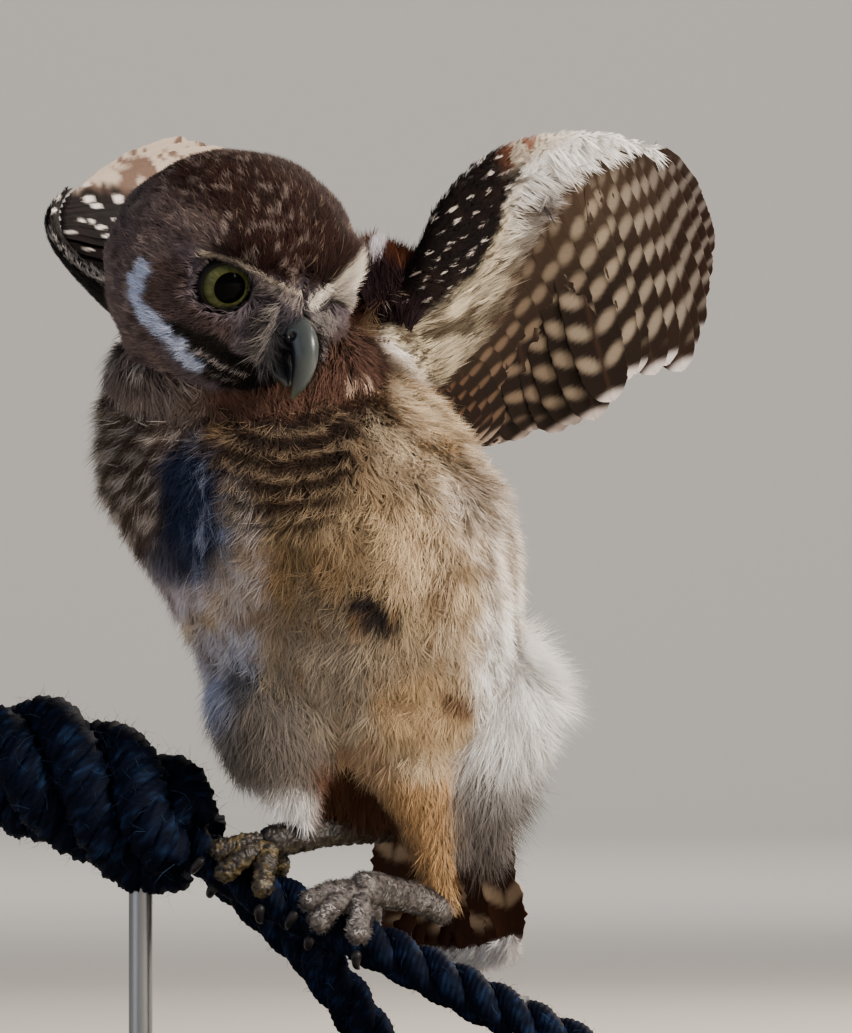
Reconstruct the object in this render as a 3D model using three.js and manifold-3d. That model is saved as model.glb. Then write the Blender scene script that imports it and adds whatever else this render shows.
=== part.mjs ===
// Life-size model of a young burrowing owl. It grips a short length of three-strand rope with both
// feet, its wings half raised and its head turned to its left, on a plain display stand.
// Millimetres, +Z up, +X to the viewer's right, +Y away from the viewer. The origin is the middle
// of the underside of the stand's base.
import * as THREE from 'three';
import { mergeVertices } from 'three/addons/utils/BufferGeometryUtils.js';
import Module from 'manifold-3d';

const wasm = await Module();
wasm.setup();

// Driving dimensions
const GAP = 0.3;
const MERGE_DISTANCE = 1e-4;

const HEAD_CENTRE = [-26, -17, 219.5];
const HEAD_YAW = 37;
const HEAD_PITCH = 20;
const HEAD_ROLL = 4;
const HEAD_FRONT = 30;
const HEAD_BACK = 33;
const HEAD_SIDE = 33.5;
const HEAD_RISE = 31;
const HEAD_COLUMNS = 26;
const HEAD_ROWS = 16;

const EYE_RADIUS = 8;
const EYE_FORWARD = 14.1;
const EYE_ASIDE = 15;
const EYE_UP = 2.3;
const EYE_SPLAY = 18;
const IRIS_RADIUS = 6.4;
const LID_THICKNESS = 1;
const LID_REACH = 8.1;

const NECK_CENTRE = [-24, -1, 195];
const NECK_HALF = [36, 32, 20];

const TARSUS_RADIUS = 3.4;
const TOE_RADIUS = 2.5;
const CLAW_RADIUS = 1.25;

const ROPE_RADIUS = 6.3;
const ROPE_GROOVE = 1.4;
const ROPE_LAY = 31;
const LEFT_FOOT_AT = 109;
const RIGHT_FOOT_AT = 81;

const BASE_LENGTH = 190;
const BASE_DEPTH = 120;
const BASE_THICKNESS = 12;
const BASE_CORNER = 14;
const ROD_RADIUS = 3;
const ROD_SIDES = 12;
const RODS = { left: { x: -50, y: 8.7, top: 90 }, right: { x: 44.2, y: -25.8, top: 40 } };

// Small helpers
const point = (xyz) => new THREE.Vector3(...xyz);
const radians = THREE.MathUtils.degToRad;
const UP = new THREE.Vector3(0, 0, 1);

/** Smooth curve through a list of [x, y, z] points, even in its parameter from point to point. */
function curveThrough(points) {
  return new THREE.CatmullRomCurve3(points.map(point), false, 'catmullrom', 0.5);
}

/** Smooth number between listed values, spread evenly from 0 to 1. */
function valueAt(values, t) {
  return curveThrough(values.map((value) => [value, 0, 0])).getPoint(t).x;
}

/** Even draws between -1 and 1, the same each time from the same seed. */
function drawsFrom(seed) {
  const range = 2 ** 32;
  let state = seed;
  return () => {
    state = (state * 1664525 + 1013904223) % range;
    return (2 * state) / range - 1;
  };
}

/** Closed solid for joins and cuts, from a closed geometry. */
function solidOf(geometry) {
  const bare = geometry.clone();
  bare.deleteAttribute('normal');
  bare.deleteAttribute('uv');
  const merged = mergeVertices(bare, MERGE_DISTANCE);
  return new wasm.Manifold(new wasm.Mesh({
    numProp: 3,
    vertProperties: new Float32Array(merged.attributes.position.array),
    triVerts: new Uint32Array(merged.index.array),
  }));
}

/** Largest closed surface of a solid, so that scraps and sealed hollows go. */
function largestOf(solid) {
  const pieces = solid.decompose();
  return pieces.reduce((best, piece) => (piece.volume() > best.volume() ? piece : best));
}

/** Geometry of a solid's largest closed surface. */
function geometryOf(solid) {
  const mesh = largestOf(solid).getMesh();
  const geometry = new THREE.BufferGeometry();
  geometry.setAttribute('position', new THREE.BufferAttribute(mesh.vertProperties, mesh.numProp));
  geometry.setIndex(new THREE.BufferAttribute(mesh.triVerts, 1));
  geometry.computeVertexNormals();
  return geometry;
}

/** One solid from many that touch or cross, without the hollows that they seal. */
function joined(solids) {
  return largestOf(solids.reduce((whole, piece) => whole.add(piece)));
}

/** A solid with every cutter taken away. */
function cutBy(solid, cutters) {
  return cutters.reduce((rest, cutter) => rest.subtract(cutter), solid);
}

/** Moves each vertex of a geometry to the place that a function gives it. */
function warped(geometry, place) {
  const position = geometry.attributes.position;
  const vertex = new THREE.Vector3();
  for (let i = 0; i < position.count; i += 1) {
    vertex.fromBufferAttribute(position, i);
    const moved = place(vertex);
    position.setXYZ(i, moved.x, moved.y, moved.z);
  }
  return geometry;
}

/**
 * Closed form through oval stations. Each station has a middle and two half axes, as vectors, and
 * grow makes the form larger all round by that much.
 */
function loft(stations, sides, steps, grow = 0) {
  const middles = curveThrough(stations.map((station) => station.middle));
  const firsts = curveThrough(stations.map((station) => station.first));
  const seconds = curveThrough(stations.map((station) => station.second));
  const place = (vertex) => {
    const t = THREE.MathUtils.clamp(vertex.y + 0.5, 0, 1);
    const along = middles.getTangent(t);
    const first = firsts.getPoint(t);
    const second = seconds.getPoint(t);
    const turn = first.clone().cross(along).dot(second) < 0 ? -1 : 1;
    first.setLength(first.length() + grow);
    second.setLength(second.length() + grow);
    const end = t === 0 ? -grow : (t === 1 ? grow : 0);
    return middles.getPoint(t).addScaledVector(along, end)
      .addScaledVector(first, vertex.x).addScaledVector(second, vertex.z * turn);
  };
  return solidOf(warped(new THREE.CylinderGeometry(1, 1, 1, sides, steps), place));
}

/** Round tube of changing radius along a list of points. */
function tube(points, radii, sides, steps, grow = 0) {
  const path = curveThrough(points);
  const stations = radii.map((radius, i) => {
    const along = path.getTangent(i / (radii.length - 1));
    const side = along.clone().cross(Math.abs(along.z) > 0.9 ? new THREE.Vector3(0, 1, 0) : UP);
    side.setLength(radius);
    const rise = side.clone().cross(along).setLength(radius);
    const middle = path.getPoint(i / (radii.length - 1));
    return { middle: middle.toArray(), first: side.toArray(), second: rise.toArray() };
  });
  return loft(stations, sides, steps, grow);
}

/** Ellipsoid with its three half sizes along the world's axes, or along given ones. */
function ellipsoid(middle, half, columns, rows, grow = 0, axes = new THREE.Matrix4()) {
  const geometry = new THREE.SphereGeometry(1, columns, rows);
  geometry.scale(half[0] + grow, half[1] + grow, half[2] + grow);
  geometry.applyMatrix4(axes);
  geometry.translate(...middle);
  return solidOf(geometry);
}

/** Straight round rod between two points. */
function rod(from, to, radius, sides) {
  const axis = point(to).sub(point(from));
  const geometry = new THREE.CylinderGeometry(radius, radius, axis.length(), sides);
  geometry.applyQuaternion(new THREE.Quaternion().setFromUnitVectors(
    new THREE.Vector3(0, 1, 0), axis.clone().normalize()));
  geometry.translate(...point(from).addScaledVector(axis, 0.5).toArray());
  return solidOf(geometry);
}

// Feathers: share of the length and share of the greatest width at each station
const FLIGHT_OUTLINE = [[0, 0.2], [0.36, 0.9], [0.84, 0.95], [1, 0.25]];
const COVERT_OUTLINE = [[0, 0.35], [0.5, 1], [0.85, 0.8], [1, 0.25]];
const VANE_ROOT_THICKNESS = 0.6;
const VANE_TIP_THICKNESS = 0.5;

/**
 * One feather's vane as a thin closed strip from root to tip. Its face looks along facing, turned
 * about its length by tilt degrees, and bows out on that side by a share of the length. The strip
 * is split into triangles alike on both faces.
 */
function vane(root, tip, facing, { width, tilt, bow, outline }) {
  const along = tip.clone().sub(root);
  const length = along.length();
  along.normalize();
  const rise = facing.clone().addScaledVector(along, -facing.dot(along)).normalize()
    .applyAxisAngle(along, radians(tilt));
  const across = along.clone().cross(rise);
  const corners = [];
  for (const [share, breadth] of outline) {
    const middle = root.clone().lerp(tip, share)
      .addScaledVector(rise, 4 * bow * length * share * (1 - share));
    const thickness = THREE.MathUtils.lerp(VANE_ROOT_THICKNESS, VANE_TIP_THICKNESS, share);
    for (const [side, level] of [[-1, 1], [1, 1], [1, -1], [-1, -1]]) {
      const corner = middle.clone().addScaledVector(across, (side * width * breadth) / 2)
        .addScaledVector(rise, (level * thickness) / 2);
      corners.push(...corner.toArray());
    }
  }
  const last = 4 * (outline.length - 1);
  const faces = [0, 3, 2, 0, 2, 1, last, last + 2, last + 3, last, last + 1, last + 2];
  for (let ring = 0; ring < last; ring += 4) {
    for (let side = 0; side < 4; side += 1) {
      const [a, b] = [ring + side, ring + ((side + 1) % 4)];
      const [c, d] = [b + 4, a + 4];
      faces.push(...(side === 2 ? [a, b, d, b, c, d] : [a, b, c, a, c, d]));
    }
  }
  const geometry = new THREE.BufferGeometry();
  geometry.setAttribute('position', new THREE.Float32BufferAttribute(corners, 3));
  geometry.setIndex(faces);
  return solidOf(geometry);
}

// Head

/** The head's own directions: forward, to its left, and up. */
function headAxes() {
  const yaw = radians(HEAD_YAW);
  const pitch = radians(HEAD_PITCH);
  const roll = radians(HEAD_ROLL);
  const forward = new THREE.Vector3(
    Math.sin(yaw) * Math.cos(pitch), -Math.cos(yaw) * Math.cos(pitch), -Math.sin(pitch));
  const level = new THREE.Vector3(Math.cos(yaw), Math.sin(yaw), 0);
  const rise = forward.clone().cross(level);
  const left = level.clone().multiplyScalar(Math.cos(roll)).addScaledVector(rise, -Math.sin(roll));
  return { forward, left, up: forward.clone().cross(left) };
}

const HEAD = headAxes();

/** World place of a point given as forward, left and up of the head's middle. */
function onHead([forward, left, up]) {
  return point(HEAD_CENTRE).addScaledVector(HEAD.forward, forward)
    .addScaledVector(HEAD.left, left).addScaledVector(HEAD.up, up).toArray();
}

// Swellings and hollows of the head: direction, height and spread, the same on both sides
const HEAD_FORMS = [
  { toward: [19, 17.5, 1.5], height: -6, spread: 0.42 },
  { toward: [24, 13, 13], height: 2.2, spread: 0.28 },
  { toward: [15, 25, -13], height: 1.8, spread: 0.35 },
  { toward: [30, 2, -2], height: 2, spread: 0.2 },
  { toward: [23, 6, -20], height: 1.2, spread: 0.3 },
];
const FRONT_CROWDING = 0.42;

/** Distance of the head's surface from its middle, in a direction of the head's own frame. */
function headReach(direction) {
  const depth = direction.x > 0 ? HEAD_FRONT : HEAD_BACK;
  const base = 1 / Math.hypot(direction.x / depth, direction.y / HEAD_SIDE,
    direction.z / HEAD_RISE);
  let reach = base;
  for (const form of HEAD_FORMS) {
    for (const side of [1, -1]) {
      const [forward, aside, up] = form.toward;
      const toward = new THREE.Vector3(forward, aside * side, up).normalize();
      const angle = Math.acos(THREE.MathUtils.clamp(toward.dot(direction), -1, 1));
      reach += form.height * Math.exp(-((angle / form.spread) ** 2));
    }
  }
  return reach;
}

/** The head as one closed form, its mesh closer set on the face. */
function headForm(grow) {
  const geometry = new THREE.SphereGeometry(1, HEAD_COLUMNS, HEAD_ROWS);
  return solidOf(warped(geometry, (vertex) => {
    const around = Math.atan2(vertex.z, vertex.x);
    const crowded = around - FRONT_CROWDING * Math.sin(around);
    const level = Math.hypot(vertex.x, vertex.z);
    const direction = new THREE.Vector3(
      level * Math.cos(crowded), -level * Math.sin(crowded), vertex.y);
    const reach = headReach(direction) + grow;
    return point(onHead(direction.multiplyScalar(reach).toArray()));
  }));
}

/** One eye's middle and its own directions. */
function eyeFrame(side) {
  const splay = radians(EYE_SPLAY) * side;
  const axis = HEAD.forward.clone().multiplyScalar(Math.cos(splay))
    .addScaledVector(HEAD.left, Math.sin(splay));
  return { middle: onHead([EYE_FORWARD, EYE_ASIDE * side, EYE_UP]), axis, up: HEAD.up };
}

/** Point at a distance along an eye's axis and up from its middle. */
function onEye(eye, ahead, rise = 0) {
  return point(eye.middle).addScaledVector(eye.axis, ahead).addScaledVector(eye.up, rise).toArray();
}

const SOCKET_RADIUS = EYE_RADIUS + LID_THICKNESS + 2 * GAP;
const EYE_COLUMNS = 10;
const EYE_ROWS = 8;

/** Round ball about an eye's middle. */
function eyeBall(eye, radius) {
  return ellipsoid(eye.middle, [radius, radius, radius], EYE_COLUMNS, EYE_ROWS);
}

/** Slab that keeps one side of the line between the lids. */
function lidSide(eye, side, line) {
  const size = 4 * EYE_RADIUS;
  const geometry = new THREE.BoxGeometry(size, size, size);
  const across = eye.up.clone().cross(eye.axis).normalize();
  geometry.applyMatrix4(new THREE.Matrix4().makeBasis(across, eye.up, eye.axis.clone()));
  const offset = line + side * (size / 2 + GAP / 2);
  geometry.translate(...onEye(eye, size / 2, offset));
  return solidOf(geometry);
}

/** One lid: part of a thin shell round the eyeball, open over the iris or shut over it. */
function lid(eye, side, opening, line) {
  const inner = EYE_RADIUS + GAP;
  const shell = eyeBall(eye, inner + LID_THICKNESS).subtract(eyeBall(eye, inner));
  const reach = rod(onEye(eye, 1), onEye(eye, 2 * EYE_RADIUS), LID_REACH, EYE_COLUMNS);
  let skin = shell.intersect(reach).intersect(lidSide(eye, side, line));
  if (opening > 0) {
    const hole = rod(onEye(eye, 1), onEye(eye, 2 * EYE_RADIUS, -0.2), opening, EYE_COLUMNS);
    skin = skin.subtract(hole);
  }
  return skin;
}

// Bill: middles along it in the head's frame, half widths and half depths
const BILL_PATH = [[22, 0, -8], [29, 0, -5.6], [33.6, 0, -6.8], [36, 0, -11], [36, 0, -15.8],
  [34.8, 0, -20.6]];
const BILL_WIDTHS = [5, 4.4, 3.8, 3.1, 2.1, 0.5];
const BILL_DEPTHS = [6, 5, 4.3, 3.4, 2.3, 0.6];
const JAW_PATH = [[22, 0, -14], [27.5, 0, -15.2], [30.5, 0, -16.8], [32, 0, -18.4]];
const JAW_WIDTHS = [4.2, 3.4, 2.4, 0.7];
const JAW_DEPTHS = [3, 2.2, 1.5, 0.6];
const NOSTRIL_AT = [32.8, 4, -5];
const NOSTRIL_RADIUS = 1.1;
const GAPE_PATH = [[31, 3.5, -13], [28.5, 8, -12.5], [24, 13.5, -13.5], [19.5, 18.5, -14.5]];
const GAPE_RADIUS = 0.8;

/** Horny sheath along a path in the head's middle plane. */
function sheath(path, widths, depths, sides, steps, grow) {
  const curve = curveThrough(path.map(onHead));
  const stations = path.map((place, i) => {
    const along = curve.getTangent(i / (path.length - 1));
    const across = HEAD.left.clone().setLength(widths[i]);
    const deep = along.clone().cross(HEAD.left).setLength(depths[i]);
    return { middle: onHead(place), first: across.toArray(), second: deep.toArray() };
  });
  return loft(stations, sides, steps, grow);
}

// Torso: level ovals from the vent up to the shoulders, as height, middle and half sizes
const TORSO_LEVELS = [
  { z: 93, x: 12, y: 12, wide: 8, deep: 8 },
  { z: 101, x: 11, y: 12, wide: 25, deep: 22 },
  { z: 114, x: 7, y: 12, wide: 39, deep: 33 },
  { z: 128, x: 4, y: 10, wide: 43, deep: 38 },
  { z: 142, x: -0.5, y: 7, wide: 47, deep: 42 },
  { z: 156, x: -5.5, y: 4.5, wide: 51, deep: 44 },
  { z: 170, x: -10.5, y: 3.5, wide: 51.5, deep: 43.5 },
  { z: 183, x: -15.5, y: 6, wide: 46.5, deep: 39 },
  { z: 195, x: -19, y: 11, wide: 40, deep: 34 },
  { z: 205, x: -19, y: 14, wide: 30, deep: 27 },
  { z: 212, x: -18, y: 17, wide: 13, deep: 11 },
];
const SCAPULARS = [
  { middle: [3, 22, 214], half: [13, 9, 16] },
  { middle: [-42, 28, 204], half: [13, 10, 14] },
];
const VENT_LEVELS = [
  { z: 137, x: 34, y: 14, wide: 8, deep: 8 },
  { z: 128, x: 35, y: 16, wide: 15.5, deep: 16 },
  { z: 116, x: 37.5, y: 18, wide: 21.5, deep: 20 },
  { z: 104, x: 36, y: 20, wide: 18, deep: 18 },
  { z: 92, x: 34.5, y: 23, wide: 15, deep: 15 },
  { z: 82, x: 35, y: 26, wide: 11.5, deep: 11 },
  { z: 74, x: 37, y: 28, wide: 5, deep: 5 },
];

/** Stations of a form that is built from level ovals. */
function levelStations(levels) {
  return levels.map(({ z, x, y, wide, deep }) => (
    { middle: [x, y, z], first: [wide, 0, 0], second: [0, deep, 0] }));
}

/** Torso with the bunched shoulder feathers behind the neck. */
function torsoForm(grow) {
  const trunk = loft(levelStations(TORSO_LEVELS), 18, 12, grow);
  const lobes = SCAPULARS.map(({ middle, half }) => ellipsoid(middle, half, 10, 8, grow));
  return joined([trunk, ...lobes]);
}

/** Soft white feathering under the tail. */
function ventForm(grow) {
  return loft(levelStations(VENT_LEVELS), 14, 8, grow);
}

/** Ring of dark feathering between head and breast. */
function neckForm(grow) {
  return ellipsoid(NECK_CENTRE, NECK_HALF, 18, 10, grow);
}

// Legs: each thigh's middles and radii down to the heel, and the tarsus from heel to foot
const LEFT_HEEL = [27, 22, 60];
const RIGHT_HEEL = [13, 24, 81];
const LEFT_THIGH_PATH = [[14, 6, 112], [17, 7, 98], [20, 11, 86], [23, 15, 74], [26, 20, 63]];
const LEFT_THIGH_RADII = [14, 13, 9, 6.2, 4.6];
const RIGHT_THIGH_PATH = [[-2, 8, 112], [2, 12, 100], [7, 17, 91], [12, 22.5, 83]];
const RIGHT_THIGH_RADII = [12, 10, 6.8, 4.6];
const RIGHT_FLUFF_PATH = [[-14, 2, 128], [-18, -2, 116], [-16, -4, 102], [-10, -3, 90],
  [-8, -2.5, 83]];
const RIGHT_FLUFF_RADII = [12, 17, 15, 8, 1.5];

/** Thigh with its feathering, one side or the other. */
function thighForm(side, grow) {
  if (side === 'left') {
    return tube(LEFT_THIGH_PATH, LEFT_THIGH_RADII, 16, 9, grow);
  }
  return joined([tube(RIGHT_THIGH_PATH, RIGHT_THIGH_RADII, 14, 7, grow),
    tube(RIGHT_FLUFF_PATH, RIGHT_FLUFF_RADII, 16, 9, grow)]);
}

// Rope: the route of each length, chosen by hand
const ROPE_PATH = [[-92, 24, 101], [-66, 14, 92.5], [-48, 8, 83], [-35, 3, 75.5], [-18.7, -3, 65.2],
  [1, -10, 56], [22, -17.6, 45.8], [42, -25, 35.5], [60, -31, 26.8], [74, -36, 21.5]];
const STRAND_PATH = [[-30, 21, 71], [-18, 17, 60], [-8, 10, 51], [-2, 3, 43.5],
  [5, 1, 33.5], [11, 0, 23], [14, 0, 17.5]];
const ROPE_CURVE = curveThrough(ROPE_PATH);

/** Three-strand rope along a route: lobes that turn with the lay. */
function ropeForm(points, radius, pointsPerStrand, stepLength, grow = 0) {
  const path = curveThrough(points);
  const length = path.getLength();
  const steps = Math.round(length / stepLength);
  const sides = 3 * pointsPerStrand;
  const frames = path.computeFrenetFrames(steps, false);
  const place = (vertex) => {
    const t = THREE.MathUtils.clamp(vertex.y + 0.5, 0, 1);
    const step = Math.round(t * steps);
    const level = Math.hypot(vertex.x, vertex.z);
    const around = Math.atan2(vertex.x, vertex.z);
    const lobe = 0.5 - 0.5 * Math.cos(3 * around);
    const reach = (radius - ROPE_GROOVE * (1 - lobe) ** 2 + grow) * level;
    const turned = around + (2 * Math.PI * t * length) / ROPE_LAY;
    const end = t === 0 ? -grow : (t === 1 ? grow : 0);
    return path.getPointAt(t).addScaledVector(frames.tangents[step], end)
      .addScaledVector(frames.normals[step], reach * Math.cos(turned))
      .addScaledVector(frames.binormals[step], reach * Math.sin(turned));
  };
  const geometry = warped(new THREE.CylinderGeometry(1, 1, 1, sides, steps), place);
  return solidOf(geometry);
}

/** Point beside the main rope: distance along it, angle from above towards the front, reach. */
function besideRope([along, angle, reach]) {
  const share = along / ROPE_CURVE.getLength();
  const tangent = ROPE_CURVE.getTangentAt(share);
  const rise = UP.clone().addScaledVector(tangent, -UP.dot(tangent)).normalize();
  const front = tangent.clone().cross(rise);
  return ROPE_CURVE.getPointAt(share)
    .addScaledVector(rise, reach * Math.cos(radians(angle)))
    .addScaledVector(front, reach * Math.sin(radians(angle))).toArray();
}

// Knot: four lengths laid round the main rope, and their reach from its axis from end to end
const KNOT_STRANDS = 4;
const KNOT_RADII = [7, 7.2, 7, 7.3, 6.9, 7.1, 5.5];
const KNOT_LAY = 74;
const KNOT_START = 8;
const KNOT_END = 62;
const KNOT_REACH = [9.5, 11.5, 11.8, 11.2, 11.8, 11.4, 7.5];

/** Route of one length of the knot, by its number. */
function knotRoute(strand) {
  return KNOT_REACH.map((reach, i) => {
    const along = THREE.MathUtils.lerp(KNOT_START, KNOT_END, i / (KNOT_REACH.length - 1));
    return besideRope([along, 360 * (strand / KNOT_STRANDS + along / KNOT_LAY), reach]);
  });
}

// Wings: leading edge, line of the feather roots and line of the feather tips, body to hand
const LEFT_WING = {
  lead: [[0, 14, 203], [14, 10.5, 217.5], [23.5, 4, 237.5], [37, 2, 250.5], [53, 4, 255.5],
    [67, 10, 256], [80.5, 24, 253.5]],
  root: [[12, 28, 186], [24, 33, 193], [36, 30, 205], [44, 22, 224], [55, 14, 243],
    [69, 18, 250], [82, 28, 249]],
  tip: [[26, 50, 180], [34, 62, 179], [43, 76, 179], [55, 76, 183], [70, 72, 190],
    [88, 84, 196], [92, 88, 222]],
  half: [8, 6.5, 5, 4.2, 3.6, 2.8, 1.6],
  side: 1,
};
const RIGHT_WING = {
  lead: [[-28, 20, 198], [-44, 24, 207], [-56, 20, 217], [-67, 15, 223.5], [-73, 13, 230.5],
    [-73, 20, 238], [-68, 31, 244]],
  root: [[-24, 36, 192], [-40, 46, 198], [-52, 46, 206], [-62, 36, 217], [-70, 25, 228],
    [-71, 28, 236], [-67, 35, 242]],
  tip: [[-14, 56, 186], [-16, 66, 194], [-14, 76, 204], [-10, 84, 215], [-8, 90, 228],
    [-14, 98, 243], [-42, 88, 252]],
  half: [8, 6.5, 5, 4.2, 3.6, 2.8, 1.6],
  side: -1,
};

/** Curves of one wing and the direction that its upper side faces, at a share of its span. */
function wingCurves(wing) {
  const lead = curveThrough(wing.lead);
  const root = curveThrough(wing.root);
  const tip = curveThrough(wing.tip);
  const upper = (share, from = lead, to = tip) => {
    const chord = to.getPoint(share).sub(from.getPoint(share));
    const span = root.getTangent(share);
    return span.cross(chord).multiplyScalar(wing.side).normalize();
  };
  return { lead, root, tip, upper };
}

/** Flesh of the wing, from its leading edge to the line of the feather roots. */
function wingFlesh(wing) {
  const { lead, root, upper } = wingCurves(wing);
  const stations = wing.half.map((half, i) => {
    const share = i / (wing.half.length - 1);
    const from = lead.getPoint(share);
    const to = root.getPoint(share);
    return {
      middle: from.clone().add(to).multiplyScalar(0.5).toArray(),
      first: from.clone().sub(to).multiplyScalar(0.5).toArray(),
      second: upper(share, lead, root).setLength(half).toArray(),
    };
  });
  return loft(stations, 8, 8);
}

// Rows of wing feathers: share of the span of the first and last, share of the way in from the line
// of roots to the leading edge where each is rooted, its depth in shares of the flesh's half
// thickness, share of the way out to the line of tips where it ends, and how far it lies off there
const WING_ROWS = [
  { count: 8, first: 0.08, last: 0.65, inset: 0.1, height: 0, reach: 1, lift: 0, width: 11.5,
    tilt: 12, bow: 0.015, outline: FLIGHT_OUTLINE },
  { count: 8, first: 0.725, last: 0.995, inset: 0.1, height: 0, reach: 1, lift: 0, width: 10.5,
    tilt: 12, bow: 0.015, outline: FLIGHT_OUTLINE },
  { count: 7, first: 0.1, last: 0.92, inset: 0.4, height: 0.6, reach: 0.42, lift: 4,
    width: 16, tilt: 5, bow: 0.02, outline: COVERT_OUTLINE },
  { count: 5, first: 0.14, last: 0.84, inset: 0.6, height: 0.75, reach: 0.15, lift: 6,
    width: 17, tilt: 4, bow: 0.02, outline: COVERT_OUTLINE },
  { count: 5, first: 0.18, last: 0.86, inset: 0.4, height: -0.6, reach: 0.36, lift: -3.5,
    width: 17, tilt: 5, bow: -0.02, outline: COVERT_OUTLINE },
];
const WING_REACH_SPREAD = 0.03;
const WING_LIFT_SPREAD = 0.1;
const LEFT_WING_SEED = 11;
const RIGHT_WING_SEED = 29;

/** Wing with its flight feathers and coverts, rooted in the flesh in tiers. */
function wingForm(wing, seed) {
  const { lead, root, tip, upper } = wingCurves(wing);
  const draw = drawsFrom(seed);
  const pieces = [wingFlesh(wing)];
  for (const row of WING_ROWS) {
    for (let k = 0; k < row.count; k += 1) {
      const share = THREE.MathUtils.lerp(row.first, row.last, k / (row.count - 1));
      const facing = upper(share);
      const line = root.getPoint(share);
      const reach = row.reach * (1 + WING_REACH_SPREAD * draw());
      const lift = row.lift + WING_LIFT_SPREAD * draw();
      const start = line.clone().lerp(lead.getPoint(share), row.inset)
        .addScaledVector(facing, row.height * valueAt(wing.half, share));
      const end = line.clone().lerp(tip.getPoint(share), reach).addScaledVector(facing, lift);
      pieces.push(vane(start, end, facing, { ...row, tilt: -wing.side * row.tilt }));
    }
  }
  return joined(pieces);
}

// Tail: roots under the rump and tips, with its own left direction
const TAIL_ROOT = [26, 40, 114];
const TAIL_TIP = [29, 53, 49];
const TAIL_LEFT = [0.85, -0.53, 0];
const TAIL_ROOT_HALF = 7;
const TAIL_TIP_HALF = 20;
const TAIL_FEATHERS = 12;
const TAIL_STACK = 0.95;
const TAIL_ROUNDING = 5;
const TAIL_SEED = 47;
const TAIL_VANE = { width: 12, tilt: 0, bow: 0.03, outline: FLIGHT_OUTLINE };
const TAIL_COVERTS = 3;
const TAIL_COVERT_REACH = 0.4;
const TAIL_COVERT_LIFT = 3;
const TAIL_COVERT_VANE = { width: 13, tilt: 0, bow: 0.04, outline: COVERT_OUTLINE };
const TAIL_BASE = [
  { ahead: -4, wide: 8, deep: 5 },
  { ahead: 5, wide: 9, deep: 4.6 },
  { ahead: 14, wide: 9, deep: 3 },
  { ahead: 23, wide: 6, deep: 1.2 },
];
const TAIL_COVERT_ROOT = { spread: 0.7, lift: 1 };
const TAIL_COVERT_SPREAD = 0.55;

/** Tail feathers fanned and stacked under the middle ones, on a small fleshy root. */
function tailForm() {
  const draw = drawsFrom(TAIL_SEED);
  const left = point(TAIL_LEFT).normalize();
  const root = point(TAIL_ROOT);
  const tip = point(TAIL_TIP);
  const along = tip.clone().sub(root).normalize();
  const upper = left.clone().cross(along);
  const baseStations = TAIL_BASE.map(({ ahead, wide, deep }) => ({
    middle: root.clone().addScaledVector(upper, -deep / 2).addScaledVector(along, ahead)
      .toArray(),
    first: left.clone().multiplyScalar(wide).toArray(),
    second: upper.clone().multiplyScalar(deep).toArray(),
  }));
  const pieces = [loft(baseStations, 10, 4)];
  const middle = (TAIL_FEATHERS - 1) / 2;
  for (let k = 0; k < TAIL_FEATHERS; k += 1) {
    const aside = (k - middle) / middle;
    const depth = -TAIL_STACK * (Math.abs(k - middle) - (k > middle ? 0.5 : 0));
    const rounding = TAIL_ROUNDING * Math.abs(aside) ** 1.5 + draw();
    const start = root.clone().addScaledVector(left, aside * TAIL_ROOT_HALF)
      .addScaledVector(upper, depth);
    const end = tip.clone().addScaledVector(left, aside * TAIL_TIP_HALF)
      .addScaledVector(upper, depth).addScaledVector(along, -rounding);
    pieces.push(vane(start, end, upper, TAIL_VANE));
  }
  for (let k = 0; k < TAIL_COVERTS; k += 1) {
    const aside = (2 * k) / (TAIL_COVERTS - 1) - 1;
    const lift = TAIL_COVERT_LIFT + TAIL_STACK * k;
    const start = root.clone()
      .addScaledVector(left, aside * TAIL_ROOT_HALF * TAIL_COVERT_ROOT.spread)
      .addScaledVector(upper, TAIL_COVERT_ROOT.lift);
    const end = root.clone().lerp(tip, TAIL_COVERT_REACH)
      .addScaledVector(left, aside * TAIL_TIP_HALF * TAIL_COVERT_SPREAD)
      .addScaledVector(upper, lift);
    pieces.push(vane(start, end, upper, TAIL_COVERT_VANE));
  }
  return joined(pieces);
}

// Feet: for each toe, points beside the rope from the ball of the foot out to the claw's tip, as
// shift along the rope, angle from above towards the front, and distance from the rope's axis
const BALL_REACH = 11.6;
const TOES = {
  inner: {
    toe: [[-1, 8, 11.2], [-5, 40, 10], [-9.5, 72, 9.6]],
    claw: [[-10, 84, 9.6], [-11, 108, 9.2], [-11.5, 128, 7.9]],
  },
  middle: {
    toe: [[0, 12, 11.2], [-2, 58, 10.2], [-4, 98, 9.7]],
    claw: [[-4.3, 112, 9.6], [-4.8, 135, 9.2], [-5, 155, 7.9]],
  },
  outer: {
    toe: [[1, 8, 11.2], [5, 48, 10], [8, 88, 9.6]],
    claw: [[8.6, 100, 9.6], [9.2, 124, 9.2], [9.6, 144, 7.9]],
  },
  hind: {
    toe: [[1, -12, 11.2], [2.5, -58, 10.2], [3, -92, 9.7]],
    claw: [[3, -106, 9.6], [3, -130, 9.2], [3, -150, 7.9]],
  },
};
const TOE_RADII = [TOE_RADIUS + 0.3, TOE_RADIUS, TOE_RADIUS - 0.3];
const CLAW_RADII = [CLAW_RADIUS, CLAW_RADIUS - 0.2, 0.35];

/** Toe or claw of one foot, as a tube beside the rope. */
function toeForm(at, shape, radii, sides, steps, grow = 0) {
  const points = shape.map(([shift, angle, reach]) => besideRope([at + shift, angle, reach]));
  return tube(points, radii, sides, steps, grow);
}

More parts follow.
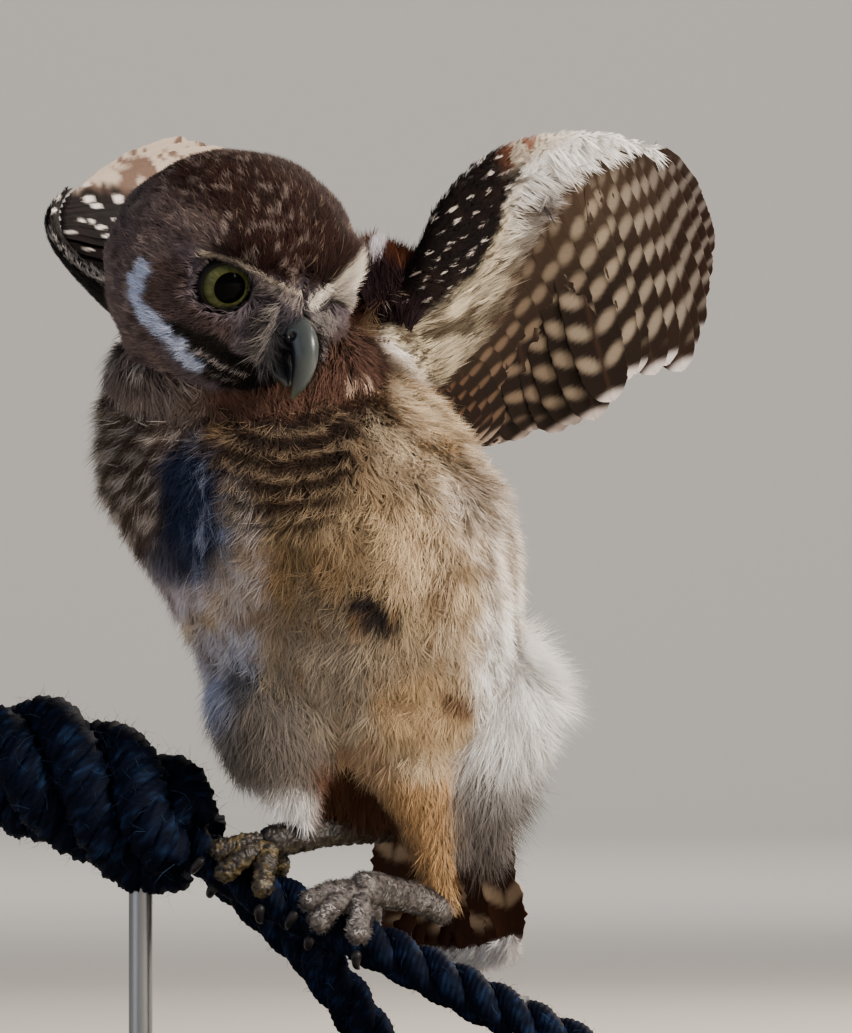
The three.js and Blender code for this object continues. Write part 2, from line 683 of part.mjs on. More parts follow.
/** Tarsus with the ball of the foot at its end. */
function tarsusForm(heel, at, grow) {
  const ball = besideRope([at, 4, BALL_REACH]);
  const knee = point(heel).lerp(point(ball), 0.5).addScaledVector(UP, 0.8).toArray();
  const shank = tube([heel, knee, ball],
    [TARSUS_RADIUS + 0.4, TARSUS_RADIUS, TARSUS_RADIUS, TARSUS_RADIUS + 0.3], 7, 4, grow);
  return shank.add(ellipsoid(ball, [4, 4, 3.6], 8, 5, grow));
}

// Group of named pieces
const owl = new THREE.Group();

/** Adds one piece to the model under its name. */
function add(name, solid, colour, roughness, metalness = 0) {
  const material = new THREE.MeshStandardMaterial({ color: colour, roughness, metalness });
  const mesh = new THREE.Mesh(geometryOf(solid), material);
  mesh.name = name;
  owl.add(mesh);
}

/** Head, neck, eyes, lids and bill. */
function buildHead() {
  const socketBalls = [1, -1].map((side) => eyeBall(eyeFrame(side), SOCKET_RADIUS));
  const gapes = [1, -1].map((side) => tube(
    GAPE_PATH.map(([ahead, aside, up]) => onHead([ahead, aside * side, up])),
    [GAPE_RADIUS, GAPE_RADIUS, GAPE_RADIUS], 6, 5));
  add('head', cutBy(headForm(0), [...socketBalls, ...gapes]), 0x3f2c25, 0.95);
  for (const [name, side, opening, line] of [['left', 1, 0, -1.5], ['right', -1, IRIS_RADIUS, 0]]) {
    const eye = eyeFrame(side);
    add(`eye_${name}`, eyeBall(eye, EYE_RADIUS), 0x9a9c4a, 0.1);
    add(`lid_upper_${name}`, lid(eye, 1, opening, line), 0x1c1816, 0.6);
    add(`lid_lower_${name}`, lid(eye, -1, opening, line), 0x1c1816, 0.6);
  }
  const nostrils = [1, -1].map((side) => {
    const [ahead, aside, up] = NOSTRIL_AT;
    const hole = [NOSTRIL_RADIUS, NOSTRIL_RADIUS, NOSTRIL_RADIUS];
    return ellipsoid(onHead([ahead, aside * side, up]), hole, 8, 6);
  });
  const upperBill = sheath(BILL_PATH, BILL_WIDTHS, BILL_DEPTHS, 12, 8, 0);
  const upperBillGrown = sheath(BILL_PATH, BILL_WIDTHS, BILL_DEPTHS, 12, 8, GAP);
  const jaw = sheath(JAW_PATH, JAW_WIDTHS, JAW_DEPTHS, 10, 5, 0);
  const jawGrown = sheath(JAW_PATH, JAW_WIDTHS, JAW_DEPTHS, 10, 5, GAP);
  add('neck', cutBy(neckForm(0), [headForm(GAP), upperBillGrown, jawGrown]), 0x4a2a20, 0.95);
  add('bill_upper', cutBy(upperBill, [headForm(GAP), ...nostrils]), 0x8f9a7c, 0.45);
  add('bill_lower', cutBy(jaw, [headForm(GAP), upperBillGrown]), 0x7c8470, 0.45);
}

/** Torso, undertail feathering, thighs, tail and wings, each cut clear of what carries it. */
function buildBody() {
  const headAndNeck = [headForm(GAP), neckForm(GAP)];
  const trunk = [...headAndNeck, torsoForm(GAP)];
  const legs = [thighForm('left', GAP), thighForm('right', GAP)];
  add('torso', cutBy(torsoForm(0), headAndNeck), 0xc8b090, 0.95);
  add('thigh_left', cutBy(thighForm('left', 0), [torsoForm(GAP)]), 0xc09a68, 0.95);
  add('thigh_right', cutBy(thighForm('right', 0), [torsoForm(GAP), legs[0]]), 0xd8d0c4, 0.95);
  add('vent', cutBy(ventForm(0), [torsoForm(GAP), ...legs]), 0xe8e4e0, 0.95);
  add('tail', cutBy(tailForm(), [torsoForm(GAP), ventForm(GAP), ...legs]), 0x4a342a, 0.85);
  add('wing_left', cutBy(wingForm(LEFT_WING, LEFT_WING_SEED), trunk), 0x5c4434, 0.85);
  add('wing_right', cutBy(wingForm(RIGHT_WING, RIGHT_WING_SEED), trunk), 0x3a2c26, 0.85);
}

const STRAND_POINTS = 3;
const ROPE_STEP = 4.8;
const STRAND_STEP = 7.4;
const KNOT_SIDES = 8;
const KNOT_STEPS = 7;
const CLEARANCE_SIDES = 8;
const CLEARANCE_STEPS = 16;

/** Plain round channel that clears the main rope. */
function ropeChannel() {
  const radius = (ROPE_RADIUS + GAP) / Math.cos(Math.PI / CLEARANCE_SIDES);
  return tube(ROPE_PATH, ROPE_PATH.map(() => radius), CLEARANCE_SIDES, CLEARANCE_STEPS);
}

/** The lengths of the knot. */
function knotPieces(grow) {
  return [...Array(KNOT_STRANDS).keys()].map(
    (strand) => tube(knotRoute(strand), KNOT_RADII, KNOT_SIDES, KNOT_STEPS, grow));
}

/** Rope perch: the main length, the strand that hangs from it, and the knot. */
function buildPerch() {
  const main = ropeForm(ROPE_PATH, ROPE_RADIUS, STRAND_POINTS, ROPE_STEP);
  const mainGrown = ropeForm(ROPE_PATH, ROPE_RADIUS, STRAND_POINTS, ROPE_STEP, GAP);
  const strand = ropeForm(STRAND_PATH, ROPE_RADIUS, STRAND_POINTS, STRAND_STEP);
  const strandGrown = ropeForm(STRAND_PATH, ROPE_RADIUS, STRAND_POINTS, STRAND_STEP, GAP);
  const knotGrown = knotPieces(GAP);
  add('perch_rope', main, 0x1c2636, 0.9);
  add('perch_knot', cutBy(joined(knotPieces(0)), [ropeChannel(), strandGrown]), 0x1a2230, 0.9);
  add('perch_strand', cutBy(strand, [mainGrown]), 0x1c2636, 0.9);
  return [mainGrown, strandGrown, joined(knotGrown)];
}

/** Tarsi, toes and claws, each cut clear of the rope and of one another. */
function buildFeet(ropes) {
  for (const [name, heel, at] of [['left', LEFT_HEEL, LEFT_FOOT_AT],
    ['right', RIGHT_HEEL, RIGHT_FOOT_AT]]) {
    const cutters = [...ropes, tarsusForm(heel, at, GAP)];
    const thighs = [thighForm('left', GAP), thighForm('right', GAP)];
    add(`tarsus_${name}`, cutBy(tarsusForm(heel, at, 0), [...ropes, ...thighs]),
      0x6e6460, 0.9);
    for (const [toeName, { toe, claw }] of Object.entries(TOES)) {
      add(`toe_${toeName}_${name}`, cutBy(toeForm(at, toe, TOE_RADII, 6, 4), cutters),
        0x6a604c, 0.85);
      cutters.push(toeForm(at, toe, TOE_RADII, 6, 4, GAP));
      add(`claw_${toeName}_${name}`, cutBy(toeForm(at, claw, CLAW_RADII, 5, 4), cutters),
        0x1c1a1c, 0.35);
    }
  }
}

/** Base plate and the two rods up to the rope. */
function buildStand(ropes) {
  const half = [BASE_LENGTH / 2 - BASE_CORNER, BASE_DEPTH / 2 - BASE_CORNER];
  const outline = new THREE.Shape();
  [[1, 1, 0], [-1, 1, 1], [-1, -1, 2], [1, -1, 3]].forEach(([x, y, quarter]) => {
    outline.absarc(x * half[0], y * half[1], BASE_CORNER,
      (quarter * Math.PI) / 2, ((quarter + 1) * Math.PI) / 2);
  });
  const plate = new THREE.ExtrudeGeometry(outline, {
    depth: BASE_THICKNESS - 2, bevelThickness: 1, bevelSize: 1, bevelOffset: -1,
    bevelSegments: 1, curveSegments: 4,
  });
  plate.translate(0, 0, 1);
  add('stand_base', solidOf(plate), 0x2a2622, 0.5);
  for (const [name, { x, y, top }] of Object.entries(RODS)) {
    const post = rod([x, y, BASE_THICKNESS + GAP], [x, y, top], ROD_RADIUS, ROD_SIDES);
    add(`stand_rod_${name}`, cutBy(post, ropes), 0x9a9c9e, 0.3, 1);
  }
}

buildHead();
buildBody();
const perch = buildPerch();
buildFeet(perch);
buildStand(perch);

export default owl;
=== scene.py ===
"""A life-size still model of a young burrowing owl that grips a short length of rope.

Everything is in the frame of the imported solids: +Z up, +X to the viewer's right, +Y away from the
viewer. Sizes are in millimetres here, and become metres where a mesh is made.
"""

import logging
import math
from dataclasses import dataclass, replace
from enum import Enum
from typing import Any, Callable, Optional, Sequence

import bpy
import numpy as np
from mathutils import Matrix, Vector
from mathutils.bvhtree import BVHTree


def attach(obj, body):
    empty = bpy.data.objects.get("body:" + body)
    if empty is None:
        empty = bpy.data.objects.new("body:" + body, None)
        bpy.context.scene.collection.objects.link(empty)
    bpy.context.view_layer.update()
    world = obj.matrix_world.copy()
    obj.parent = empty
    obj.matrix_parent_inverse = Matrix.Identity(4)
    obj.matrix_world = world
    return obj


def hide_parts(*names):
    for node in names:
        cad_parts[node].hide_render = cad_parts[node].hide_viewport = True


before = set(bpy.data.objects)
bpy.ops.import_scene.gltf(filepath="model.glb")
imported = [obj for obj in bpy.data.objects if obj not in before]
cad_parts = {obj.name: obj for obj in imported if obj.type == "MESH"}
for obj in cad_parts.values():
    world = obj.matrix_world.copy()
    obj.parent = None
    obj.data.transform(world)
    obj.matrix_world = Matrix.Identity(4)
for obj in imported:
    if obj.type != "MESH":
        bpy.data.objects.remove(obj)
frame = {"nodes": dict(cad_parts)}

LOG = logging.getLogger("owl")
MM = 0.001
BODY = "root"
ROOT_TUFT_PATCH = 0.003
PAINT = "Paint"
BAKE_MAP = "OFBake"
BARB_MAP = "Barbs"
COAT_PIECE_LIMIT = 190000
# Large odd numbers that stir a lattice point's three coordinates and a seed into one number.
HASH_PRIMES = (73856093, 19349663, 83492791)
HASH_SEED = 2654435
HASH_STIR = 1274126177

Array = np.ndarray
Colour = str | Array
# Gives a row of values for each of some places and their normals.
Field = Callable[[Array, Array], Array]


# Colour and numbers


def linear(code: str) -> Array:
    """Turns an sRGB hex colour into linear light.

    Args:
        code: Colour as "#rrggbb".

    Returns:
        Three linear values from 0 to 1.
    """
    raw = np.array([int(code[i:i + 2], 16) / 255 for i in (1, 3, 5)])
    return np.where(raw <= 0.04045, raw / 12.92, ((raw + 0.055) / 1.055) ** 2.4)


def step(low: float, high: float, value: Array) -> Array:
    """Smooth rise from 0 at low to 1 at high."""
    share = np.clip((value - low) / (high - low), 0, 1)
    return share * share * (3 - 2 * share)


def mix(first: Colour, second: Colour, share: Array) -> Array:
    """Blends two colours, given as linear light or as hex codes, one share for each point."""
    low, high = (linear(c) if isinstance(c, str) else c for c in (first, second))
    weight = np.asarray(share)[..., None]
    return low * (1 - weight) + high * weight


def unit(vectors: Array) -> Array:
    """Vectors of length one."""
    return vectors / np.maximum(np.linalg.norm(vectors, axis=-1, keepdims=True), 1e-9)


def square_to(normals: Array, vectors: Array) -> Array:
    """Vectors laid square to their normals, of length one."""
    return unit(vectors - np.einsum("ij,ij->i", vectors, normals)[:, None] * normals)


def turns(count: int) -> Array:
    """Angles of a ring's corners."""
    return np.arange(count) * 2 * math.pi / count


def plain(code: str, count: int) -> Array:
    """One colour for a number of points."""
    return np.tile(linear(code), (count, 1))


def noise(points: Array, size: float, seed: int) -> Array:
    """Smooth seeded noise in space.

    Args:
        points: Places in millimetres, one row each.
        size: Distance between the noise's lattice points in millimetres.
        seed: Number that picks the pattern.

    Returns:
        One value from -1 to 1 for each point.
    """
    scaled = points / size
    cell = np.floor(scaled).astype(np.int64)
    share = scaled - cell
    share = share * share * (3 - 2 * share)
    total = np.zeros(len(points))
    for corner in range(8):
        bits = np.array([corner & 1, corner >> 1 & 1, corner >> 2 & 1])
        at = cell + bits
        mixed = np.bitwise_xor.reduce(at * HASH_PRIMES, axis=1) ^ (seed * HASH_SEED)
        mixed = (mixed ^ (mixed >> 13)) * HASH_STIR & 0x7FFFFFFF
        weight = np.prod(np.where(bits == 1, share, 1 - share), axis=1)
        total += weight * ((mixed >> 7 & 0xFFFF) / 32767.5 - 1)
    return total


def spots(across: Array, along: Array, pitch: tuple[float, float], half: tuple[float, float],
          seed: int) -> Array:
    """Seeded oval spots, one in each cell of a loose grid.

    Args:
        across: First coordinate in millimetres.
        along: Second coordinate in millimetres.
        pitch: Size of a cell.
        half: Half sizes of a spot.
        seed: Number that picks the pattern.

    Returns:
        Weight from 0 to 1 of a spot at each point.
    """
    row = np.floor(along / pitch[1])
    shifted = across / pitch[0] + 0.5 * (row % 2)
    column = np.floor(shifted)
    cell = np.column_stack([column, row, np.full(len(row), seed)])
    jitter = noise(cell * 7.31, 1.0, seed), noise(cell * 5.17, 1.0, seed + 1)
    first = (shifted - column - 0.5 - 0.22 * jitter[0]) * pitch[0] / half[0]
    second = (along / pitch[1] - row - 0.5 - 0.22 * jitter[1]) * pitch[1] / half[1]
    size = 1 + 0.35 * noise(cell * 3.77, 1.0, seed + 2)
    return 1 - step(0.75, 1.2, np.hypot(first, second) / size)


def on_curve(points: Sequence[Sequence[float]], at: Array) -> Array:
    """Places on a smooth curve through points that are evenly spread from 0 to 1.

    Args:
        points: The points that the curve passes.
        at: Shares of the way from the first point to the last.

    Returns:
        One row for each share.
    """
    given = np.asarray(points, float)
    padded = np.vstack([2 * given[0] - given[1], given, 2 * given[-1] - given[-2]])
    scaled = np.clip(np.asarray(at, float), 0, 1) * (len(given) - 1)
    index = np.minimum(scaled.astype(int), len(given) - 2)
    t = (scaled - index)[..., None]
    p0, p1, p2, p3 = (padded[index + shift] for shift in range(4))
    first, second = 0.5 * (p2 - p0), 0.5 * (p3 - p1)
    return ((2 * p1 - 2 * p2 + first + second) * t ** 3
            + (-3 * p1 + 3 * p2 - 2 * first - second) * t ** 2 + first * t + p1)


def tangent_on(points: Sequence[Sequence[float]], at: Array) -> Array:
    """Directions of a smooth curve at shares of its way."""
    small = 1e-3
    low = np.clip(np.asarray(at, float) - small, 0, 1)
    high = np.clip(np.asarray(at, float) + small, 0, 1)
    return unit(on_curve(points, high) - on_curve(points, low))


# Meshes from arrays


def mesh_piece(name: str, points: Array, faces: Array, colours: Optional[Array] = None,
               patch: Optional[Array] = None, smooth: bool = True) -> bpy.types.Object:
    """Makes an object from arrays, with its colours and its bake map.

    Args:
        name: The piece's name.
        points: Vertices in millimetres.
        faces: Corner numbers, one row of three or four for each face.
        colours: Linear colour of each vertex.
        patch: Place of each vertex on the bake map.
        smooth: Whether the faces are shaded smooth.

    Returns:
        The new object, at the origin.
    """
    count, sides = faces.shape
    mesh = bpy.data.meshes.new(name)
    mesh.vertices.add(len(points))
    mesh.vertices.foreach_set("co", (points * MM).astype(np.float32).ravel())
    mesh.loops.add(count * sides)
    mesh.loops.foreach_set("vertex_index", faces.astype(np.int32).ravel())
    mesh.polygons.add(count)
    mesh.polygons.foreach_set("loop_start", np.arange(0, count * sides, sides, dtype=np.int32))
    mesh.polygons.foreach_set("use_smooth", np.full(count, smooth))
    mesh.update(calc_edges=True)
    if colours is not None:
        paint(mesh, colours)
    if patch is not None:
        layer = mesh.uv_layers.new(name=BAKE_MAP)
        layer.data.foreach_set("uv", patch[faces.ravel()].astype(np.float32).ravel())
    piece = bpy.data.objects.new(name, mesh)
    bpy.context.scene.collection.objects.link(piece)
    return piece


def paint(mesh: bpy.types.Mesh, colours: Array) -> None:
    """Stores a linear colour for each vertex of a mesh."""
    layer = (mesh.color_attributes.get(PAINT)
             or mesh.color_attributes.new(PAINT, "FLOAT_COLOR", "POINT"))
    full = np.ones((len(colours), 4), np.float32)
    full[:, :3] = np.clip(colours, 0, 1)
    layer.data.foreach_set("color", full.ravel())


def vertices_of(mesh: bpy.types.Mesh) -> Array:
    """A mesh's vertices in millimetres."""
    flat = np.zeros(len(mesh.vertices) * 3, np.float32)
    mesh.vertices.foreach_get("co", flat)
    return flat.reshape(-1, 3).astype(float) / MM


def triangles_of(mesh: bpy.types.Mesh) -> Array:
    """A mesh's triangles by its own vertex numbers."""
    mesh.calc_loop_triangles()
    faces = np.zeros(len(mesh.loop_triangles) * 3, np.int32)
    mesh.loop_triangles.foreach_get("vertices", faces)
    return faces.reshape(-1, 3)


def grid_faces(rows: int, columns: int, closed: bool) -> Array:
    """Four-sided faces of a grid of vertices, row by row.

    Args:
        rows: Number of rows of vertices.
        columns: Vertices in a row.
        closed: Whether the last column joins the first.

    Returns:
        Corner numbers of each face.
    """
    wide = columns if closed else columns - 1
    row, column = np.meshgrid(np.arange(rows - 1), np.arange(wide), indexing="ij")
    after = (column + 1) % columns
    corners = [row * columns + column, row * columns + after,
               (row + 1) * columns + after, (row + 1) * columns + column]
    return np.stack([c.ravel() for c in corners], axis=1)


def swept(middles: Array, first: Array, second: Array, sides: int) -> tuple[Array, Array]:
    """Closed tube of oval sections, its ends drawn together.

    Args:
        middles: Middle of each section.
        first: First half axis of each section.
        second: Second half axis of each section.
        sides: Corners of a section.

    Returns:
        Vertices and triangles, with points at both ends.
    """
    around = turns(sides)
    rings = (middles[:, None] + first[:, None] * np.cos(around)[None, :, None]
             + second[:, None] * np.sin(around)[None, :, None])
    points = np.vstack([rings.reshape(-1, 3), middles[:1], middles[-1:]])
    return points, tube_faces(len(middles), sides)


def tube_faces(rows: int, sides: int) -> Array:
    """Triangles of a closed tube whose end points are its last two vertices.

    Args:
        rows: Number of rings.
        sides: Corners of a ring.

    Returns:
        Triangles that face outward for a ring that runs from the first axis to the second.
    """
    body = grid_faces(rows, sides, True)
    last, start = (rows - 1) * sides, rows * sides
    here = np.arange(sides)
    after = (here + 1) % sides
    caps = np.vstack([np.stack([after, here, np.full(sides, start)], 1),
                      np.stack([last + here, last + after, np.full(sides, start + 1)], 1)])
    return np.vstack([body[:, [0, 1, 2]], body[:, [0, 2, 3]], caps])


# Blender helpers


def active_only(piece: bpy.types.Object) -> None:
    """Selects one object and nothing else."""
    for other in bpy.context.selected_objects:
        other.select_set(False)
    piece.select_set(True)
    bpy.context.view_layer.objects.active = piece


def settle(piece: bpy.types.Object) -> bpy.types.Object:
    """Puts an object's place into its mesh."""
    active_only(piece)
    bpy.ops.object.transform_apply(location=True, rotation=True, scale=True)
    return piece


def apply_modifier(piece: bpy.types.Object, kind: str, **settings: Any) -> None:
    """Adds a modifier, sets it and applies it."""
    active_only(piece)
    modifier = piece.modifiers.new(kind.title(), kind)
    for key, value in settings.items():
        setattr(modifier, key, value)
    bpy.ops.object.modifier_apply(modifier=modifier.name)


def dress(piece: bpy.types.Object, material: bpy.types.Material, slot: str,
          *nodes: str) -> bpy.types.Object:
    """Gives a piece its finish, its body and the solids that it stands for.

    Args:
        piece: The finished object.
        material: Its finish.
        slot: Name of its material slot; not used.
        nodes: Names of the solids that it replaces.

    Returns:
        The same object.
    """
    piece.data.materials.clear()
    piece.data.materials.append(material)
    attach(piece, BODY)
    if nodes:
        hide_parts(*nodes)
    LOG.info("%s: %d faces", piece.name, len(piece.data.polygons))
    return piece


# Finishes


def add_node(tree: bpy.types.NodeTree, kind: str, links: Optional[dict[str, Any]] = None,
             **settings: Any) -> bpy.types.Node:
    """Adds one shader node.

    Args:
        tree: The material's node tree.
        kind: Node type, such as "ShaderNodeTexNoise".
        links: Input name or number to a value, or to the output that feeds it.
        settings: Properties of the node.

    Returns:
        The new node.
    """
    node = tree.nodes.new(kind)
    for key, value in settings.items():
        setattr(node, key, value)
    for key, value in (links or {}).items():
        if isinstance(value, bpy.types.NodeSocket):
            tree.links.new(value, node.inputs[key])
        else:
            node.inputs[key].default_value = value
    return node


class Pattern(Enum):
    """Small-scale relief of a finish."""

    BARBS = "barbs"
    HORN = "horn"
    SCALES = "scales"
    FIBRE = "fibre"
    GRAIN = "grain"
    BRUSHED = "brushed"


@dataclass(frozen=True)
class Finish:
    """A finish whose colour comes from the painted vertices or from one colour."""

    name: str
    roughness: float
    pattern: Pattern
    pattern_mm: float
    relief_mm: float
    tint: float = 0.12
    colour: Optional[str] = None
    metallic: float = 0.0
    ior: float = 1.5
    coat: float = 0.0
    sheen: float = 0.0
    subsurface: float = 0.0
    specular: float = 0.5

    def barbs(self, tree: bpy.types.NodeTree) -> bpy.types.NodeSocket:
        """Fine slanting lines on both webs of a large feather.

        Args:
            tree: The material's node tree.

        Returns:
            The socket with their height.
        """
        place = add_node(tree, "ShaderNodeUVMap", uv_map=BARB_MAP).outputs[0]
        parts = add_node(tree, "ShaderNodeSeparateXYZ", {0: place})
        aside = add_node(tree, "ShaderNodeMath", {0: parts.outputs[1]}, operation="ABSOLUTE")
        slant = add_node(tree, "ShaderNodeMath", {0: aside.outputs[0], 1: -0.9,
                                                  2: parts.outputs[0]}, operation="MULTIPLY_ADD")
        line = add_node(tree, "ShaderNodeCombineXYZ", {0: slant.outputs[0]})
        wander = add_node(tree, "ShaderNodeMath", {0: aside.outputs[0], 1: 0.25},
                          operation="MULTIPLY")
        tree.links.new(wander.outputs[0], line.inputs[1])
        return add_node(tree, "ShaderNodeTexNoise",
                        {"Vector": line.outputs[0], "Scale": 1 / (self.pattern_mm * 0.01),
                         "Detail": 2.0}).outputs["Fac"]

    def build(self) -> bpy.types.Material:
        """Makes the material.

        Returns:
            A node material with colour variation and bump at the finish's real scale.
        """
        material = bpy.data.materials.new(self.name)
        material.use_nodes = True
        tree = material.node_tree
        tree.nodes.clear()
        place = add_node(tree, "ShaderNodeTexCoord").outputs["Object"]
        stretch = {Pattern.GRAIN: (0.12, 1, 1), Pattern.BRUSHED: (1, 1, 0.06),
                   Pattern.HORN: (1, 1, 0.35)}.get(self.pattern, (1, 1, 1))
        turned = add_node(tree, "ShaderNodeMapping", {"Vector": place, "Scale": stretch})
        scale = 1 / (self.pattern_mm * MM)
        if self.pattern is Pattern.BARBS:
            detail = self.barbs(tree)
        elif self.pattern is Pattern.SCALES:
            detail = add_node(tree, "ShaderNodeTexVoronoi",
                              {"Vector": turned.outputs[0], "Scale": scale}).outputs["Distance"]
        else:
            detail = add_node(tree, "ShaderNodeTexNoise",
                              {"Vector": turned.outputs[0], "Scale": scale, "Detail": 4.0,
                               "Roughness": 0.6}).outputs["Fac"]
        if self.colour is None:
            base = add_node(tree, "ShaderNodeAttribute", attribute_name=PAINT).outputs["Color"]
        else:
            base = add_node(tree, "ShaderNodeRGB").outputs[0]
            base.default_value = (*linear(self.colour), 1)
        shade = add_node(tree, "ShaderNodeMapRange",
                         {"Value": detail, "To Min": 1 - self.tint, "To Max": 1 + self.tint})
        scaled = add_node(tree, "ShaderNodeVectorMath", {0: base}, operation="SCALE")
        tree.links.new(shade.outputs[0], scaled.inputs["Scale"])
        bump = add_node(tree, "ShaderNodeBump",
                        {"Height": detail, "Distance": self.relief_mm * MM, "Strength": 0.8})
        shader = add_node(tree, "ShaderNodeBsdfPrincipled", {
            "Base Color": scaled.outputs[0], "Roughness": self.roughness, "IOR": self.ior,
            "Metallic": self.metallic, "Coat Weight": self.coat, "Coat Roughness": 0.05,
            "Sheen Weight": self.sheen, "Subsurface Weight": self.subsurface,
            "Specular IOR Level": self.specular, "Normal": bump.outputs[0]})
        shader.inputs["Subsurface Radius"].default_value = (0.002, 0.0012, 0.0008)
        add_node(tree, "ShaderNodeOutputMaterial", {"Surface": shader.outputs[0]})
        return material


# Anatomy: the same driving sizes as the solids


@dataclass(frozen=True)
class Head:
    """Place and directions of the head, and of what sits on it."""

    centre: tuple[float, float, float] = (-26, -17, 219.5)
    yaw: float = 37
    pitch: float = 20
    roll: float = 4
    eye_forward: float = 14.1
    eye_aside: float = 15
    eye_up: float = 2.3
    eye_splay: float = 18

    def axes(self) -> tuple[Array, Array, Array]:
        """The head's forward, left and up directions."""
        yaw, pitch, roll = (math.radians(a) for a in (self.yaw, self.pitch, self.roll))
        forward = np.array([math.sin(yaw) * math.cos(pitch), -math.cos(yaw) * math.cos(pitch),
                            -math.sin(pitch)])
        level = np.array([math.cos(yaw), math.sin(yaw), 0])
        rise = np.cross(forward, level)
        left = level * math.cos(roll) - rise * math.sin(roll)
        return forward, left, np.cross(forward, left)

    def to_world(self, local: Any) -> Array:
        """World places of points given as forward, left and up of the head's middle."""
        return np.asarray(local, float) @ np.array(self.axes()) + np.array(self.centre)

    def to_local(self, points: Array) -> Array:
        """Forward, left and up of world points from the head's middle."""
        return (points - np.array(self.centre)) @ np.array(self.axes()).T

    def eye(self, side: int) -> tuple[Array, Array]:
        """Middle and axis of an eye, with side 1 for the left and -1 for the right."""
        forward, left, _ = self.axes()
        splay = math.radians(self.eye_splay) * side
        return (self.to_world([self.eye_forward, self.eye_aside * side, self.eye_up]),
                forward * math.cos(splay) + left * math.sin(splay))


HEAD = Head()
OPEN_SIDE = -1


def eye_axes(side: int) -> tuple[Array, Array, Array, Array]:
    """An eye's middle, its axis and the directions across and above the axis."""
    middle, axis = HEAD.eye(side)
    across = unit(np.cross(HEAD.axes()[2], axis))
    return middle, axis, across, np.cross(axis, across)


@dataclass(frozen=True)
class WingLines:
    """Leading edge, line of the feather roots, line of the feather tips and flesh thickness."""

    lead: tuple
    root: tuple
    tip: tuple
    half: tuple
    side: int

    def upper(self, share: Array) -> Array:
        """Direction that the wing's upper side faces at shares of its span."""
        chord = on_curve(self.tip, share) - on_curve(self.lead, share)
        return unit(np.cross(tangent_on(self.root, share), chord) * self.side)


LEFT_WING = WingLines(
    lead=((0, 14, 203), (14, 10.5, 217.5), (23.5, 4, 237.5), (37, 2, 250.5), (53, 4, 255.5),
          (67, 10, 256), (80.5, 24, 253.5)),
    root=((12, 28, 186), (24, 33, 193), (36, 30, 205), (44, 22, 224), (55, 14, 243),
          (69, 18, 250), (82, 28, 249)),
    tip=((26, 50, 180), (34, 62, 179), (43, 76, 179), (55, 76, 183), (70, 72, 190),
         (88, 84, 196), (92, 88, 222)),
    half=(8, 6.5, 5, 4.2, 3.6, 2.8, 1.6), side=1)
RIGHT_WING = WingLines(
    lead=((-28, 20, 198), (-44, 24, 207), (-56, 20, 217), (-67, 15, 223.5), (-73, 13, 230.5),
          (-73, 20, 238), (-68, 31, 244)),
    root=((-24, 36, 192), (-40, 46, 198), (-52, 46, 206), (-62, 36, 217), (-70, 25, 228),
          (-71, 28, 236), (-67, 35, 242)),
    tip=((-14, 56, 186), (-16, 66, 194), (-14, 76, 204), (-10, 84, 215), (-8, 90, 228),
         (-14, 98, 243), (-42, 88, 252)),
    half=(8, 6.5, 5, 4.2, 3.6, 2.8, 1.6), side=-1)

LEFT_HEEL = (27, 22, 60)
RIGHT_HEEL = (13, 24, 81)
TAIL_ROOT = np.array([26, 40, 114.0])
TAIL_TIP = np.array([29, 53.6, 46.0])
TAIL_LEFT = unit(np.array([0.85, -0.53, 0]))


class Region(Enum):
    """Stretches of plumage, each with its own feathers."""

    HEAD = 0
    NECK = 1
    TORSO = 2
    VENT = 3
    THIGH_LEFT = 4
    THIGH_RIGHT = 5
    WING_LEFT = 6
    WING_RIGHT = 7


# Markings, the same on skin and coat


@dataclass(frozen=True)
class Patch:
    """Soft-edged patch of colour on the front of the body, placed across and up."""

    x: float
    z: float
    half_x: float
    half_z: float
    colour: str
    strength: float = 1.0
    turn: float = 0.0
    edge: float = 0.35

    def weight(self, points: Array, ragged: Array) -> Array:
        """Share of the patch's colour at each point."""
        angle = math.radians(self.turn)
        across, rise = points[:, 0] - self.x, points[:, 2] - self.z
        first = (across * math.cos(angle) + rise * math.sin(angle)) / self.half_x
        second = (rise * math.cos(angle) - across * math.sin(angle)) / self.half_z
        reach = np.hypot(first, second) + 0.22 * ragged
        return self.strength * (1 - step(1 - self.edge, 1 + self.edge, reach))


@dataclass(frozen=True)
class Stripe:
    """Soft-edged line on the head along points given as forward, left and up."""

    path: tuple
    half_width: float
    colour: str
    strength: float = 1.0
    radius: float = 31.0
    ragged: float = 0.3

    def weight(self, local: Array, ragged: Array) -> Array:
        """Share of the stripe's colour at each point of the head's own frame."""
        line = unit(on_curve(self.path, np.linspace(0, 1, 24))) * self.radius
        flat = unit(local) * self.radius
        nearest = np.full(len(local), 1e9)
        for place in line:
            nearest = np.minimum(nearest, np.linalg.norm(flat - place, axis=1))
        reach = nearest / self.half_width + self.ragged * ragged
        return self.strength * (1 - step(0.7, 1.35, reach))


